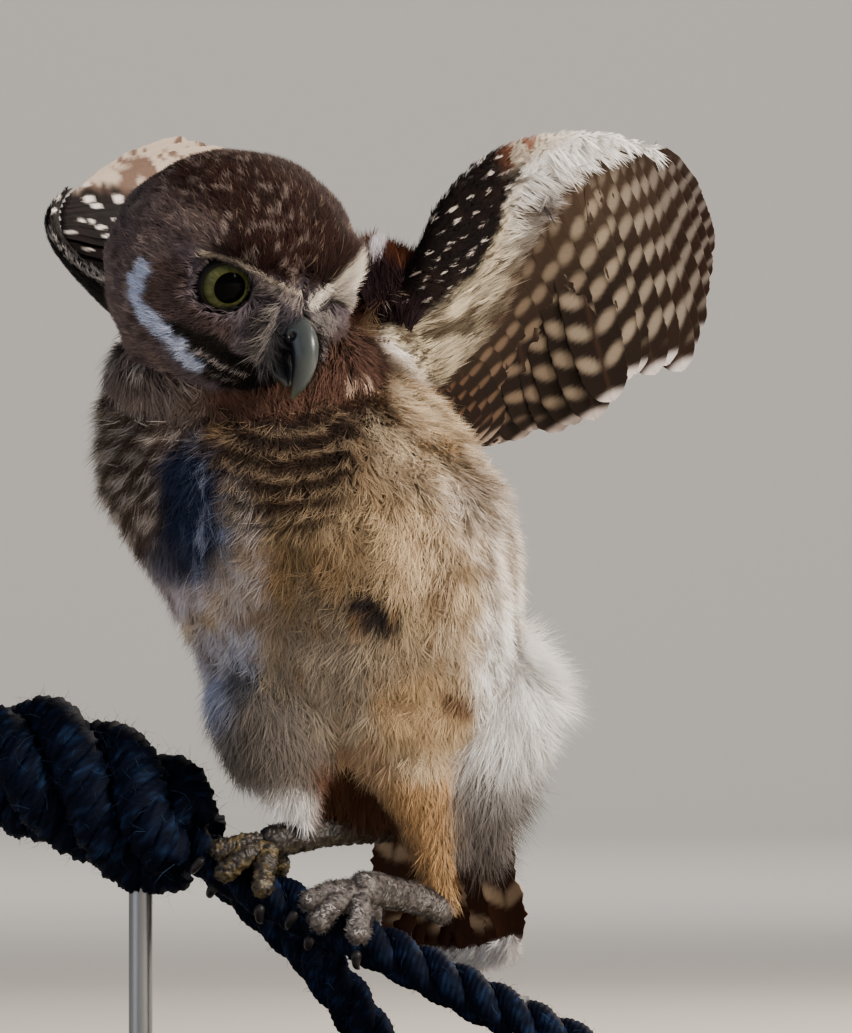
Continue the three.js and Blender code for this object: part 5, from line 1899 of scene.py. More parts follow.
@dataclass(frozen=True)
class Rope:
    """Three strands laid together, each of yarns laid the other way."""

    radius: float = ROPE_RADIUS
    lay: float = ROPE_LAY
    yarns: int = 9
    groove: float = 0.055
    sides: int = 30
    step_mm: float = 0.8
    fuzz: float = 2.6

    def strands(self, path: Sequence, seed: int) -> tuple[Array, Array, Array, Array]:
        """Meshes of the three strands along a path.

        Args:
            path: Points that the rope passes.
            seed: Number that picks its wear.

        Returns:
            Vertices, triangles, colours and outward directions.
        """
        count = max(int(path_length(on_curve(path, np.linspace(0, 1, 400))) / self.step_mm), 12)
        middle = even_path(path, count)
        length = path_length(middle)
        along = unit(np.gradient(middle, axis=0))
        first = np.zeros_like(middle)
        start = np.array([0, 0, 1.0]) if abs(along[0, 2]) < 0.9 else np.array([0, 1.0, 0])
        first[0] = unit(start - along[0] * start.dot(along[0]))
        for i in range(1, count):
            first[i] = unit(first[i - 1] - along[i] * first[i - 1].dot(along[i]))
        second = np.cross(along, first)
        thick = self.radius / (1 + 2 / math.sqrt(3)) * 1.1
        turn = np.linspace(0, 2 * math.pi * length / self.lay, count)
        around = turns(self.sides)
        points, faces, colours, normals, offset = [], [], [], [], 0
        for strand in range(3):
            phase = turn + strand * 2 * math.pi / 3
            out = first * np.cos(phase)[:, None] + second * np.sin(phase)[:, None]
            core = middle + out * (self.radius - thick)
            way = unit(np.gradient(core, axis=0))
            side = unit(np.cross(way, out))
            yarn = np.cos(self.yarns * (around[None] - 1.6 * turn[:, None]))
            wear = 1 + self.groove * yarn
            ring = (out[:, None] * np.cos(around)[None, :, None]
                    + side[:, None] * np.sin(around)[None, :, None])
            grid = core[:, None] + ring * (thick * wear)[..., None]
            own = np.vstack([grid.reshape(-1, 3), core[:1], core[-1:]])
            own[:-2] += ring.reshape(-1, 3) * (0.16 * noise(own[:-2], 1.3, seed))[:, None]
            triangles = outward(own, tube_faces(count, self.sides))
            fleck = step(0.1, 0.75, noise(own * np.array([0.6, 0.6, 1.0]), 1.4, seed + 1))
            colour = mix("#050b1c", "#1a2d4c", 0.65 * fleck)
            # The grooves between the yarns are painted darker: painted shade.
            painted_groove_shade = np.concatenate([step(0.2, 0.9, -yarn).ravel(), [0, 0]])
            colour = mix(colour, "#03050a", 0.65 * painted_groove_shade)
            points.append(own)
            faces.append(triangles + offset)
            colours.append(colour)
            normals.append(np.vstack([ring.reshape(-1, 3), -along[:1], along[-1:]]))
            offset += len(own)
        return (np.vstack(points), np.vstack(faces), np.vstack(colours), np.vstack(normals))

    def build(self, name: str, paths: Sequence, seed: int) -> list[bpy.types.Object]:
        """Makes lengths of rope as one piece, and their loose fibres as another.

        Args:
            name: The piece's name.
            paths: Routes of the lengths.
            seed: Number that picks their wear.

        Returns:
            The rope and its fibres.
        """
        made = [self.strands(path, seed + i) for i, path in enumerate(paths)]
        shift = np.cumsum([0] + [len(m[0]) for m in made[:-1]])
        points = np.vstack([m[0] for m in made])
        faces = np.vstack([m[1] + s for m, s in zip(made, shift)])
        colours, normals = np.vstack([m[2] for m in made]), np.vstack([m[3] for m in made])
        rope = mesh_piece(name, points, faces, colours)
        rng = np.random.default_rng(seed)
        chosen = rng.choice(len(points), int(len(points) * self.fuzz / 36), replace=False)
        flow = unit(rng.normal(0, 1, (len(chosen), 3)))
        flow = square_to(normals[chosen], flow)
        roots = Roots(points[chosen], normals[chosen], flow, np.zeros((len(chosen), 2)))
        kind = TuftKind(self.fuzz, 1, 1, 0.09, 0.1, 0.5, length_spread=0.7, fluff=0.22, wave=0.5,
                        tone_spread=0.4, painted_root_shade=1.0)
        fibres = tufts(name + "_fibres", roots, kind, lambda p, n: plain("#223046", len(p)), rng)
        return [rope, fibres]


# Feet


LEFT_FOOT_AT = 109.0
RIGHT_FOOT_AT = 81.0
TOES = {
    "inner": (((-1, 8, 11.2), (-5, 40, 10), (-9.5, 72, 9.6)),
              ((-10, 84, 9.6), (-11, 108, 9.2), (-11.5, 128, 7.9))),
    "middle": (((0, 12, 11.2), (-2, 58, 10.2), (-4, 98, 9.7)),
               ((-4.3, 112, 9.6), (-4.8, 135, 9.2), (-5, 155, 7.9))),
    "outer": (((1, 8, 11.2), (5, 48, 10), (8, 88, 9.6)),
              ((8.6, 100, 9.6), (9.2, 124, 9.2), (9.6, 144, 7.9))),
    "hind": (((1, -12, 11.2), (2.5, -58, 10.2), (3, -92, 9.7)),
             ((3, -106, 9.6), (3, -130, 9.2), (3, -150, 7.9))),
}


@dataclass(frozen=True)
class Limb:
    """A bare or thinly feathered tube of the leg, as a dense grid."""

    points: Array
    faces: Array
    normals: Array
    share: Array
    around: Array


def limb(path: Array, radii: Sequence[float], rows: int, sides: int, flatten: float = 1.0) -> Limb:
    """Makes a tube of changing radius with rounded ends.

    Args:
        path: Points that it passes.
        radii: Radii, spread evenly along it.
        rows: Number of rings.
        sides: Corners of a ring.
        flatten: Height of a section as a share of its width.

    Returns:
        The tube's grid.
    """
    share = np.linspace(0, 1, rows)
    middle = on_curve(path, share)
    along = unit(np.gradient(middle, axis=0))
    radius = np.interp(share, np.linspace(0, 1, len(radii)), radii)
    length = path_length(middle)
    from_end = np.minimum(share, 1 - share) * length
    round_off = np.sqrt(np.clip(1 - (1 - np.clip(from_end / radius, 0, 1)) ** 2, 0.02, 1))
    across = unit(np.cross(along, np.array([0.001, 0.3, 1.0])))
    rise = np.cross(across, along)
    around = turns(sides)
    ring = (across[:, None] * np.cos(around)[None, :, None]
            + rise[:, None] * (np.sin(around) * flatten)[None, :, None])
    grid = middle[:, None] + ring * (radius * round_off)[:, None, None]
    points = np.vstack([grid.reshape(-1, 3), middle[:1], middle[-1:]])
    faces = outward(points, tube_faces(rows, sides))
    spread = np.concatenate([np.repeat(share, sides), [0, 1]])
    turn = np.concatenate([np.tile(around, rows), [0, 0]])
    return Limb(points, faces, vertex_normals(points, faces), spread, turn)


def merged(limbs: Sequence[Limb]) -> Limb:
    """Several tubes as one."""
    shift = np.cumsum([0] + [len(part.points) for part in limbs[:-1]])
    return Limb(np.vstack([part.points for part in limbs]),
                np.vstack([part.faces + s for part, s in zip(limbs, shift)]),
                np.vstack([part.normals for part in limbs]),
                np.hstack([part.share for part in limbs]),
                np.hstack([part.around for part in limbs]))


@dataclass(frozen=True)
class Foot:
    """Tarsus, toes and claws of one side."""

    side: str
    heel: tuple
    at: float
    skin: str
    scale_dark: str
    pad: str
    bristle: str
    bristle_tip: str
    bristle_share: float
    warty: float = 0.0
    tarsus_radius: float = 3.4
    toe_radius: float = 2.5
    claw_radius: float = 1.25

    def colours(self, form: Limb, warty: float = 0.0) -> Array:
        """Colours of scaly skin, paler on its lower side and where it is warty."""
        grain = noise(form.points, 1.3, 81)
        colour = mix(self.skin, self.scale_dark, step(-0.2, 0.5, grain))
        under = step(0.1, 0.7, -form.normals[:, 2]) if self.side == "right" else (
            step(0.3, 0.9, -form.normals[:, 2]))
        share = np.maximum(under * (0.4 + 0.6 * warty if self.warty else 1),
                           warty * step(-0.3, 0.3, noise(form.points, 0.9, 86)))
        return mix(colour, self.pad, 0.8 * share * step(-0.5, 0.2, grain))

    def scaly(self, form: Limb, relief: float) -> Array:
        """Places of the skin with its scales and warts raised."""
        warts = np.abs(noise(form.points, 1.1, 82)) + 0.5 * noise(form.points, 0.6, 83)
        return form.points + form.normals * (relief * warts)[:, None]

    def build(self, rng: np.random.Generator) -> list[tuple]:
        """Makes the foot.

        Args:
            rng: Seeded source of random numbers.

        Returns:
            Each piece with its slot and the solids that it stands for.
        """
        ball = beside_rope(self.at, 4, 11.6)
        knee = (np.array(self.heel) + ball) / 2 + np.array([0, 0, 0.8])
        shank = limb(np.array([self.heel, knee, ball + (ball - knee) * 0.08]),
                     self.tarsus_radius + np.array([0.4, 0, 0, 0.5, 0.6]), 110, 56)
        pieces = []
        toes, claws = [], []
        for name, (toe, claw) in TOES.items():
            path = np.array([beside_rope(self.at + s, a, reach) for s, a, reach in toe])
            swell = np.array([0.4, -0.1, 0.25, -0.15, 0.1, -0.3])
            toes.append(limb(path, self.toe_radius + swell, 80, 40))
            hook = np.array([beside_rope(self.at + s, a, reach) for s, a, reach in claw])
            thick = self.claw_radius
            claws.append(limb(hook, [thick + 0.1, thick, thick * 0.8, thick * 0.5, 0.15], 44, 24))
        skin = merged([shank] + toes)
        shades = [self.colours(shank)] + [self.colours(toe, self.warty) for toe in toes]
        piece = mesh_piece(f"foot_{self.side}", self.scaly(skin, 0.42 + 0.25 * self.warty),
                           skin.faces, np.vstack(shades))
        names = [f"tarsus_{self.side}"] + [f"toe_{name}_{self.side}" for name in TOES]
        pieces.append((piece, "foot_skin", names))
        horn = merged(claws)
        shade = mix("#191719", "#3a3536", 0.5 * step(0.0, 0.9, noise(horn.points, 1.6, 84)))
        pieces.append((mesh_piece(f"claws_{self.side}", horn.points, horn.faces, shade),
                       "claw_horn", [f"claw_{name}_{self.side}" for name in TOES]))
        wanted = np.concatenate([np.full(len(shank.points), 1.0)]
                                + [np.full(len(part.points), 0.45) for part in toes])
        wanted = wanted * self.bristle_share
        chosen = rng.random(len(skin.points)) < 0.42 * wanted
        down = np.tile(unit(ball - np.array(self.heel)), (int(chosen.sum()), 1))
        normals = skin.normals[chosen]
        lie = down + rng.normal(0, 0.25, down.shape)
        lie = square_to(normals, lie)
        map_place = np.column_stack([skin.share, skin.around / (2 * math.pi)])[chosen] * 0.9
        roots = Roots(skin.points[chosen], normals, lie, map_place)
        kind = TuftKind(1.8, 1, 2, 0.12, 0.25, 0.3, length_spread=0.5, fluff=0.28, wave=0.15,
                        tip_tone=1.5)
        low, high = self.bristle, self.bristle_tip
        pieces.append((tufts(f"foot_bristles_{self.side}", roots, kind,
                             lambda p, n: mix(low, high, step(0.0, 0.6, noise(p, 2.0, 85))), rng),
                       "foot_skin", []))
        return pieces


# Stand


@dataclass(frozen=True)
class Stand:
    """Low wooden base with rounded corners, and two steel rods up to the rope."""

    length: float = 190
    depth: float = 120
    thickness: float = 12
    corner: float = 14
    rod_radius: float = 3
    rods: tuple = (("left", -50, 8.7, 90), ("right", 44.2, -25.8, 40))

    def base(self) -> bpy.types.Object:
        """Makes the base plate."""
        bpy.ops.mesh.primitive_cube_add(size=1, location=(0, 0, self.thickness / 2 * MM))
        plate = bpy.context.object
        plate.name = "stand_plate"
        plate.scale = (self.length * MM, self.depth * MM, self.thickness * MM)
        settle(plate)
        weights = plate.data.attributes.new("bevel_weight_edge", "FLOAT", "EDGE")
        for edge, weight in zip(plate.data.edges, weights.data):
            ends = [plate.data.vertices[i].co for i in edge.vertices]
            weight.value = float(abs(ends[0].z - ends[1].z) > 0.5 * self.thickness * MM)
        apply_modifier(plate, "BEVEL", width=self.corner * MM, segments=12, limit_method="WEIGHT")
        plate.data.attributes.remove(plate.data.attributes["bevel_weight_edge"])
        apply_modifier(plate, "BEVEL", width=1.2 * MM, segments=4, limit_method="ANGLE")
        bpy.ops.object.shade_smooth_by_angle(angle=math.radians(30))
        return plate

    def rod(self, name: str, x: float, y: float, top: float) -> bpy.types.Object:
        """Makes one rod from the base up into the rope."""
        low = self.thickness + 0.3
        bpy.ops.mesh.primitive_cylinder_add(
            vertices=48, radius=self.rod_radius * MM, depth=(top - low) * MM,
            location=(x * MM, y * MM, (top + low) / 2 * MM))
        post = bpy.context.object
        post.name = f"stand_rod_{name}_steel"
        bpy.ops.object.shade_smooth_by_angle(angle=math.radians(40))
        return settle(post)


# Plumage of each region


def shoulder_line(across: Array) -> Array:
    """Height of the shoulder's outline where it shows behind the head."""
    return 231 - 0.46 * (across - 8)


@dataclass(frozen=True)
class Coat:
    """Small feathers of every region."""

    seed: int = 5

    def layers(self) -> list[tuple]:
        """Name, region, kind, lie and slot of each layer of small feathers."""
        wing_left, wing_right = wing_lie(LEFT_WING), wing_lie(RIGHT_WING)
        lining = TuftKind(9.0, 1.2, 6, 0.28, 0.1, 1.2, turn_spread=0.1, tone_spread=0.2,
                          strip_tone=0.1, painted_root_shade=0.9)
        leaf = TuftKind(2.8, 0.76, 4, 0.3, 0.24, 0.6, turn_spread=0.16, tone_spread=0.1,
                        strip_tone=0.06, painted_root_shade=0.85)
        return [
            ("head_plumage", Region.HEAD, TuftKind(4.2, 0.78, 5, 0.2, 0.34, 1.9), head_lie,
             "head_feathers"),
            ("neck_plumage", Region.NECK, TuftKind(8.5, 1.3, 8, 0.28, 0.36, 3.0), body_lie,
             "body_feathers"),
            ("breast_plumage", Region.TORSO,
             TuftKind(8.0, 1.36, 9, 0.2, 0.4, 3.3, length_spread=0.42, turn_spread=0.42,
                      tone_spread=0.12, strip_tone=0.06, painted_root_shade=0.72, tip_tone=1.1, fluff=0.1,
                      wave=0.12, clump=0.55),
             body_lie, "body_feathers"),
            ("vent_plumage", Region.VENT,
             TuftKind(12.5, 1.55, 9, 0.16, 0.6, 3.8, fluff=0.34, wave=0.16, tone_spread=0.05,
                      strip_tone=0.04, painted_root_shade=1.0),
             vent_lie, "white_down"),
            ("thigh_left_plumage", Region.THIGH_LEFT, TuftKind(6.5, 1.1, 6, 0.24, 0.3, 2.2),
             thigh_lie, "body_feathers"),
            ("thigh_right_plumage", Region.THIGH_RIGHT,
             TuftKind(10.0, 1.3, 8, 0.22, 0.42, 2.8, fluff=0.06, wave=0.08), thigh_lie,
             "white_down"),
            ("wing_left_coverts", Region.WING_LEFT, leaf, wing_left, "body_feathers"),
            ("wing_right_coverts", Region.WING_RIGHT, leaf, wing_right, "body_feathers"),
            ("wing_left_lining", Region.WING_LEFT, lining, lining_lie, "body_feathers"),
        ]

    def build(self, surface: Surface) -> list[tuple]:
        """Makes the small feathers.

        Args:
            surface: The skin.

        Returns:
            Each piece with its slot.
        """
        made = []
        for index, (name, region, kind, lie, slot) in enumerate(self.layers()):
            rng = np.random.default_rng(self.seed + index)
            roots = scatter(surface, region, kind.spacing, lie, rng)
            if region is Region.HEAD:
                away = np.linalg.norm(roots.places - HEAD.eye(OPEN_SIDE)[0], axis=1)
                bill = np.linalg.norm(HEAD.to_local(roots.places) - np.array([30.5, 0, -7]), axis=1)
                roots = roots.kept((away > 9.0) & (bill > 4.5))
            if lie is lining_lie:
                under, band = WingMarkings(LEFT_WING).under(roots.places, roots.normals)
                high = rng.random(len(under)) < 0.6 * step(232, 248, roots.places[:, 2])
                roots = roots.kept((under > 0.5) & (band < 0.4) & ~high)
            parts = max(1, math.ceil(len(roots.places) * kind.strips * 3 / COAT_PIECE_LIMIT))
            order = np.argsort(roots.places[:, 2], kind="stable")
            for part, chosen in enumerate(np.array_split(order, parts)):
                label = name if parts == 1 else f"{name}_{part + 1}"
                piece = tufts(label, roots.kept(chosen), kind,
                              lambda p, n, own=region: markings(own, p, n), rng)
                made.append((piece, slot))
        body = [(piece, "body_feathers") for piece in (self.between_legs(), self.shoulder())]
        face = [(piece, "head_feathers")
                for piece in (self.lores(), self.brows(surface), self.eye_ring())]
        return made + body + face

    def between_legs(self) -> bpy.types.Object:
        """Makes the long fluff between the thighs, its dark browns painted shade there."""
        rng = np.random.default_rng(self.seed + 70)
        count = 2600
        places = rng.uniform((-6, 9, 94), (15, 22, 102), (count, 3))
        lies = unit(np.array([0.12, 0.05, -1.0]) + rng.normal(0, 0.12, (count, 3)))
        normals = unit(np.array([0, -1.0, 0.1]) + rng.normal(0, 0.3, (count, 3)))
        normals = square_to(lies, normals)
        kind = TuftKind(14.0, 1, 6, 0.24, 0.3, 1.4, fluff=0.1, wave=0.1, painted_root_shade=0.9)
        # Dark browns, lighter towards the top: painted shade between the legs.
        low, high = "#4a3122", "#7c543a"
        return tufts("between_legs_plumage", Roots(places, normals, lies, own_map(count)), kind,
                     lambda p, n: mix(low, high,
                                      step(84, 96, p[:, 2]) * step(-0.4, 0.5, noise(p, 3, 57))),
                     rng)

    def shoulder(self) -> bpy.types.Object:
        """Makes the shoulder's feathers that show between the head and the left wing."""
        rng = np.random.default_rng(self.seed + 75)
        count = 2200
        across = rng.uniform(6.5, 18, count)
        places = np.stack([across, rng.uniform(12, 19, count),
                           shoulder_line(across) - 8.2 - rng.uniform(0, 13, count)], axis=1)
        lies = unit(np.array([0.12, 0, 1.0]) + rng.normal(0, 0.13, (count, 3)))
        normals = unit(np.array([0.1, -1.0, 0.1]) + rng.normal(0, 0.3, (count, 3)))
        normals = square_to(lies, normals)
        kind = TuftKind(8.2, 1, 8, 0.26, 0.26, 1.0, length_spread=0.12, wave=0.05)
        low, high = "#23151a", "#55301f"

        def colours(points: Array, _: Array) -> Array:
            """Dark brown that turns rufous along the top, with one white feather."""
            top = step(-6, -1, points[:, 2] - shoulder_line(points[:, 0]) + noise(points, 3, 58))
            brown = mix(low, high, top)
            pale = Patch(9.6, 228, 1.7, 3.6, "", 0.95, -28).weight(points, noise(points, 2, 59))
            return mix(brown, "#dcd8e2", pale)

        return tufts("shoulder_plumage", Roots(places, normals, lies, own_map(count)), kind,
                     colours, rng)

    def brows(self, surface: Surface) -> bpy.types.Object:
        """Makes the longer feathers of the pale brows, fanned out over the shut eye."""
        rng = np.random.default_rng(self.seed + 80)
        roots = scatter(surface, Region.HEAD, 0.62, brow_lie, rng)
        local = HEAD.to_local(roots.places)
        plain = np.zeros(len(local))
        fan = Stripe(((29.5, 4, 3.5), (26, 10.5, 8), (22, 16, 9.5), (18, 21, 9)), 4.2, "#ffffff")
        line = Stripe(((14.6, -23.8, 8.8), (17.5, -20.5, 9), (21.6, -16.2, 9), (26.3, -10.4, 7.4),
                       (30, -3, 4.8)), 1.1, "#ffffff")
        roots = roots.kept(np.maximum(fan.weight(local, plain), line.weight(local, plain)) > 0.4)
        wide = HEAD.to_local(roots.places)[:, 1] > 3
        kinds = ((roots.kept(wide), TuftKind(7.6, 1, 4, 0.15, 0.26, 2.8, tip_tone=1.15)),
                 (roots.kept(~wide), TuftKind(4.2, 1, 4, 0.14, 0.2, 2.4, tip_tone=1.0)))
        parts = [tufts(f"brow_{i}", own, kind, lambda p, n: markings(Region.HEAD, p, n), rng)
                 for i, (own, kind) in enumerate(kinds)]
        active_only(parts[0])
        parts[1].select_set(True)
        bpy.ops.object.join()
        parts[0].name = "brow_feathers"
        return parts[0]

    def eye_ring(self) -> bpy.types.Object:
        """Makes the short feathers that radiate from the open eye's rim."""
        rng = np.random.default_rng(self.seed + 85)
        middle, axis, across, rise = eye_axes(OPEN_SIDE)
        count = 1300
        around = rng.uniform(0, 2 * math.pi, count)
        angle = rng.uniform(1.0, 1.6, count)
        spoke = across * np.cos(around)[:, None] + rise * np.sin(around)[:, None]
        out = axis * np.cos(angle)[:, None] + spoke * np.sin(angle)[:, None]
        radius = 8.6 + 1.6 * (angle - 1.0)
        lie = spoke * np.cos(angle)[:, None] - axis * np.sin(angle)[:, None] + 0.35 * out
        roots = Roots(middle + out * radius[:, None], out, unit(lie), own_map(count))
        kind = TuftKind(2.9, 1, 4, 0.13, 0.3, 0.6, turn_spread=0.2, painted_root_shade=0.5)
        return tufts("eye_ring_feathers", roots, kind, lambda p, n: markings(Region.HEAD, p, n),
                     rng)

    def lores(self) -> bpy.types.Object:
        """Makes the long bristles that curve away from the bill's base."""
        rng = np.random.default_rng(self.seed + 90)
        places, lies, normals = [], [], []
        for side in (1, -1):
            for _ in range(190):
                turn = rng.uniform(-0.9, 1.25)
                local = np.array([29.0 - 3.5 * rng.random(), side * (4.2 + 3.0 * rng.random()),
                                  -3.5 + 7.5 * math.sin(-turn) * rng.uniform(0.6, 1.1)])
                places.append(HEAD.to_world(local))
                axes = np.array(HEAD.axes())
                lies.append(np.array([0.1, side * 0.8, -0.9 + 0.5 * rng.random()]) @ axes)
                normals.append(np.array([0.9, side * 0.35, 0.1]) @ axes)
            for _ in range(330):
                local = np.array([rng.uniform(24.5, 29.5), side * rng.uniform(4.8, 6.4),
                                  rng.uniform(-13.5, -4.5)])
                axes = np.array(HEAD.axes())
                places.append(HEAD.to_world(local))
                lies.append(np.array([0.78, -0.14 * side, rng.uniform(-0.95, -0.35)]) @ axes)
                normals.append(np.array([0.15, side * 0.95, 0.1]) @ axes)
        normal, lie = unit(np.array(normals)), np.array(lies)
        lie = square_to(normal, lie)
        roots = Roots(np.array(places), normal, lie, own_map(len(places)))
        kind = TuftKind(8.0, 1, 2, 0.16, 0.2, 1.6, length_spread=0.35, wave=0.12, tip_tone=0.8)
        pale, dark = "#6a6461", "#171416"
        near = HEAD.to_world([33, 0, -10])
        return tufts("lores_bristles", roots, kind,
                     lambda p, n: mix(pale, dark, np.clip(
                         step(-0.1, 0.5, noise(p, 1.3, 91))
                         + 1 - step(5, 9, np.linalg.norm(p - near, axis=1)), 0, 1)), rng)


# Studio


@dataclass(frozen=True)
class Studio:
    """Level camera straight in front, pale floor and soft lights."""

    across: float = 0.0215
    height: float = 0.1591
    distance: float = 4.0
    frame_height: float = 0.25825
    sensor: float = 0.036

    def camera(self) -> None:
        """Makes the camera, level, looking along +Y."""
        data = bpy.data.cameras.new("camera")
        data.sensor_fit = "VERTICAL"
        data.sensor_height = self.sensor * 1000
        data.lens = self.sensor * 1000 * self.distance / self.frame_height
        data.clip_end = 60
        camera = bpy.data.objects.new("camera", data)
        bpy.context.scene.collection.objects.link(camera)
        camera.location = (self.across, -self.distance, self.height)
        camera.rotation_euler = (math.radians(90), 0, 0)
        bpy.context.scene.camera = camera

    def floor(self) -> None:
        """Makes the pale floor and the wall that it curves up into."""
        turn = np.linspace(0, math.pi / 2, 25)
        bend = np.stack([4.0 + 1.2 * np.sin(turn), 1.2 * (1 - np.cos(turn))], axis=1)
        run = np.concatenate([[(-5.2, 0)], bend, [(5.2, 4.2)]])
        wide = 5.2
        points = np.array([[x, y, z] for y, z in run for x in (-wide, wide)]) / MM
        piece = mesh_piece("studio_floor", points, grid_faces(len(run), 2, False))
        finish = Finish("studio_paper", 0.9, Pattern.GRAIN, 40, 0.0, 0.0, "#c6c2bc")
        piece.data.materials.append(finish.build())

    def light(self, name: str, place: tuple, target: tuple, size: float, power: float,
              colour: str) -> None:
        """Makes one soft lamp that looks at a point."""
        data = bpy.data.lights.new(name, "AREA")
        data.energy, data.size = power, size
        data.color = linear(colour)
        lamp = bpy.data.objects.new(name, data)
        bpy.context.scene.collection.objects.link(lamp)
        lamp.location = place
        way = Vector(target) - Vector(place)
        lamp.rotation_euler = way.to_track_quat("-Z", "Y").to_euler()

    def build(self) -> None:
        """Makes the camera, floor, lights and the sky's even light."""
        self.camera()
        self.floor()
        middle = (0, 0, 0.16)
        self.light("key", (1.25, -0.8, 0.95), middle, 0.5, 58, "#fff4e6")
        self.light("fill", (-1.3, -0.9, 0.6), middle, 1.1, 6, "#dfe8ff")
        self.light("rim", (0.8, 0.95, 0.85), middle, 0.5, 26, "#fff0de")
        self.light("wall_wash", (0, 2.4, 1.9), (0, 5.2, 0.5), 1.5, 60, "#fffaf4")
        world = bpy.data.worlds.new("sky")
        world.use_nodes = True
        background = world.node_tree.nodes["Background"]
        background.inputs["Color"].default_value = (*linear("#c8ced6"), 1)
        background.inputs["Strength"].default_value = 0.34
        bpy.context.scene.world = world


def finishes() -> dict[str, bpy.types.Material]:
    """Makes every finish.

    Returns:
        Materials by slot.
    """
    return {
        # Wet, clear cornea over the iris: a hard, bright highlight.
        "eye": Finish("eye_wet", 0.14, Pattern.HORN, 3, 0.0, 0.03, coat=0.03,
                      specular=0.02).build(),
        # Bare dark skin, a little moist.
        "lid_skin": Finish("lid_skin", 0.6, Pattern.SCALES, 0.6, 0.05, 0.1, specular=0.15).build(),
        # Horn: satin, with growth lines and light that sinks in a little.
        "bill_horn": Finish("bill_horn", 0.36, Pattern.HORN, 1.2, 0.05, 0.1, subsurface=0.15,
                            coat=0.15).build(),
        # Smooth black horn that shines along its ridge.
        "claw_horn": Finish("claw_horn", 0.5, Pattern.HORN, 1.5, 0.03, 0.1, specular=0.25).build(),
        # Dry scaly skin with small shining plates.
        "foot_skin": Finish("foot_skin", 0.55, Pattern.SCALES, 0.9, 0.12, 0.15).build(),
        # Worn synthetic fibre, half dull.
        "rope": Finish("rope_fibre", 0.72, Pattern.FIBRE, 0.5, 0.1, 0.3, specular=0.06).build(),
        # Oiled dark wood with fine grain.
        "base_wood": Finish("base_wood", 0.42, Pattern.GRAIN, 6, 0.05, 0.3, "#2e2721").build(),
        # Brushed steel.
        "rod_steel": Finish("rod_steel", 0.3, Pattern.BRUSHED, 0.8, 0.01, 0.06, "#9b9d9f",
                            metallic=1.0).build(),
        # Vanes: barbs catch light in fine lines.
        "flight_feathers": Finish("flight_feathers", 0.7, Pattern.BARBS, 0.55, 0.06, 0.16,
                                  sheen=0.0, specular=0.08).build(),
        # Short, silky head feathers.
        "head_feathers": Finish("head_feathers", 0.75, Pattern.FIBRE, 1.2, 0.0, 0.12, sheen=0.02,
                                specular=0.1).build(),
        # Down: dull and light, with light coming through its tips.
        "white_down": Finish("white_down", 0.85, Pattern.FIBRE, 2.0, 0.0, 0.06, sheen=0.3,
                             subsurface=0.1, specular=0.15).build(),
        # Body feathers: soft, nearly dull.
        "body_feathers": Finish("body_feathers", 0.8, Pattern.FIBRE, 1.6, 0.0, 0.1, sheen=0.05,
                                specular=0.1).build(),
    }


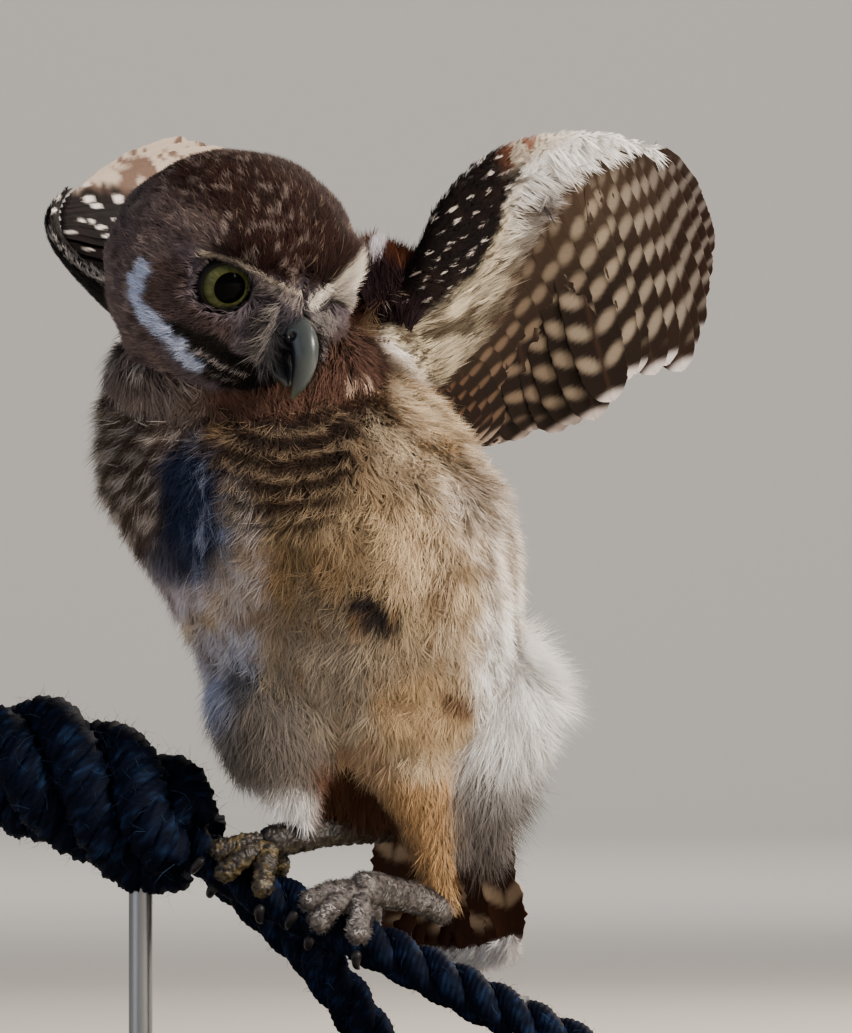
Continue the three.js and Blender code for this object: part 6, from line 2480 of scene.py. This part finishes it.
def main() -> None:
    """Builds, dresses and reports every piece."""
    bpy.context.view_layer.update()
    finish = finishes()
    surface = Skin().build(frame["nodes"])
    nodes = [name for name, _, _ in Skin().sources] + ["lid_upper_left", "lid_lower_left"]
    dress(surface.piece, finish["body_feathers"], "body_feathers", *nodes)
    for piece, slot in Coat().build(surface):
        dress(piece, finish[slot], slot)
    rows = wing_rows(WingColours())
    left = Wing("wing_left_feathers", LEFT_WING, 11, rows).build(surface)
    dress(left, finish["flight_feathers"], "flight_feathers", "wing_left")
    right = Wing("wing_right_feathers", RIGHT_WING, 29, rows[:2]).build(surface)
    paint_right_wing(right.data)
    dress(right, finish["flight_feathers"], "flight_feathers", "wing_right")
    dress(Tail().build(surface), finish["flight_feathers"], "flight_feathers", "tail")
    dress(Tail().tips(), finish["white_down"], "white_down")
    for eye, name in ((Eye(-OPEN_SIDE, radius=7.4, bulge=0.0), "left"), (Eye(OPEN_SIDE), "right")):
        dress(eye.ball(), finish["eye"], "eye", f"eye_{name}")
    dress(Eye(OPEN_SIDE).rim(), finish["lid_skin"], "lid_skin", "lid_upper_right",
          "lid_lower_right")
    upper = Sheath(((22, 0, -8), (29, 0, -5.6), (33.6, 0, -6.8), (36, 0, -11), (36, 0, -15.8),
                    (34.8, 0, -20.6)), (5, 4.4, 3.8, 3.1, 2.1, 0.5), (6, 5, 4.3, 3.4, 2.3, 0.6),
                   "#3a403f", "#0f1216", "#484a2e")
    jaw = Sheath(((22, 0, -14), (27.5, 0, -15.2), (30.5, 0, -16.8), (32, 0, -18.4)),
                 (4.2, 3.4, 2.4, 0.7), (3, 2.2, 1.5, 0.6), "#23282c", "#2b3033", "#3a3c34")
    dress(upper.build("bill_upper_horn", (32.8, 3.8, -5)), finish["bill_horn"], "bill_horn",
          "bill_upper")
    dress(jaw.build("bill_lower_horn"), finish["bill_horn"], "bill_horn", "bill_lower")
    feet = (Foot("left", LEFT_HEEL, LEFT_FOOT_AT, "#5c5553", "#363130", "#625a4d", "#68625f",
                 "#bdb8b4", 1.0),
            # The far, right foot is coloured much darker than the left: painted shade; its warts
            # and yellower pads are its own.
            Foot("right", RIGHT_HEEL, RIGHT_FOOT_AT, "#211a14", "#15110e", "#584a2b", "#1d1917",
                 "#4a443f", 0.25, warty=1.0))
    for index, foot in enumerate(feet):
        for piece, slot, names in foot.build(np.random.default_rng(70 + index)):
            dress(piece, finish[slot], slot, *names)
    lengths = (("rope_main", (ROPE_PATH,), "perch_rope"),
               ("rope_strand", (STRAND_PATH,), "perch_strand"),
               ("rope_knot", [knot_route(k) for k in range(KNOT_STRANDS)], "perch_knot"))
    for index, (name, paths, node) in enumerate(lengths):
        kind = Rope(7.0, lay=15.0, groove=0.13, fuzz=4.6) if node == "perch_knot" else Rope()
        rope, fibres = kind.build(name, paths, 100 + 10 * index)
        dress(rope, finish["rope"], "rope", node)
        dress(fibres, finish["rope"], "rope")
    stand = Stand()
    dress(stand.base(), finish["base_wood"], "base_wood", "stand_base")
    for name, x, y, top in stand.rods:
        dress(stand.rod(name, x, y, top), finish["rod_steel"], "rod_steel", f"stand_rod_{name}")
    Studio().build()


if __name__ == "__main__":
    logging.basicConfig(level=logging.INFO, format="%(name)s: %(message)s")
    main()
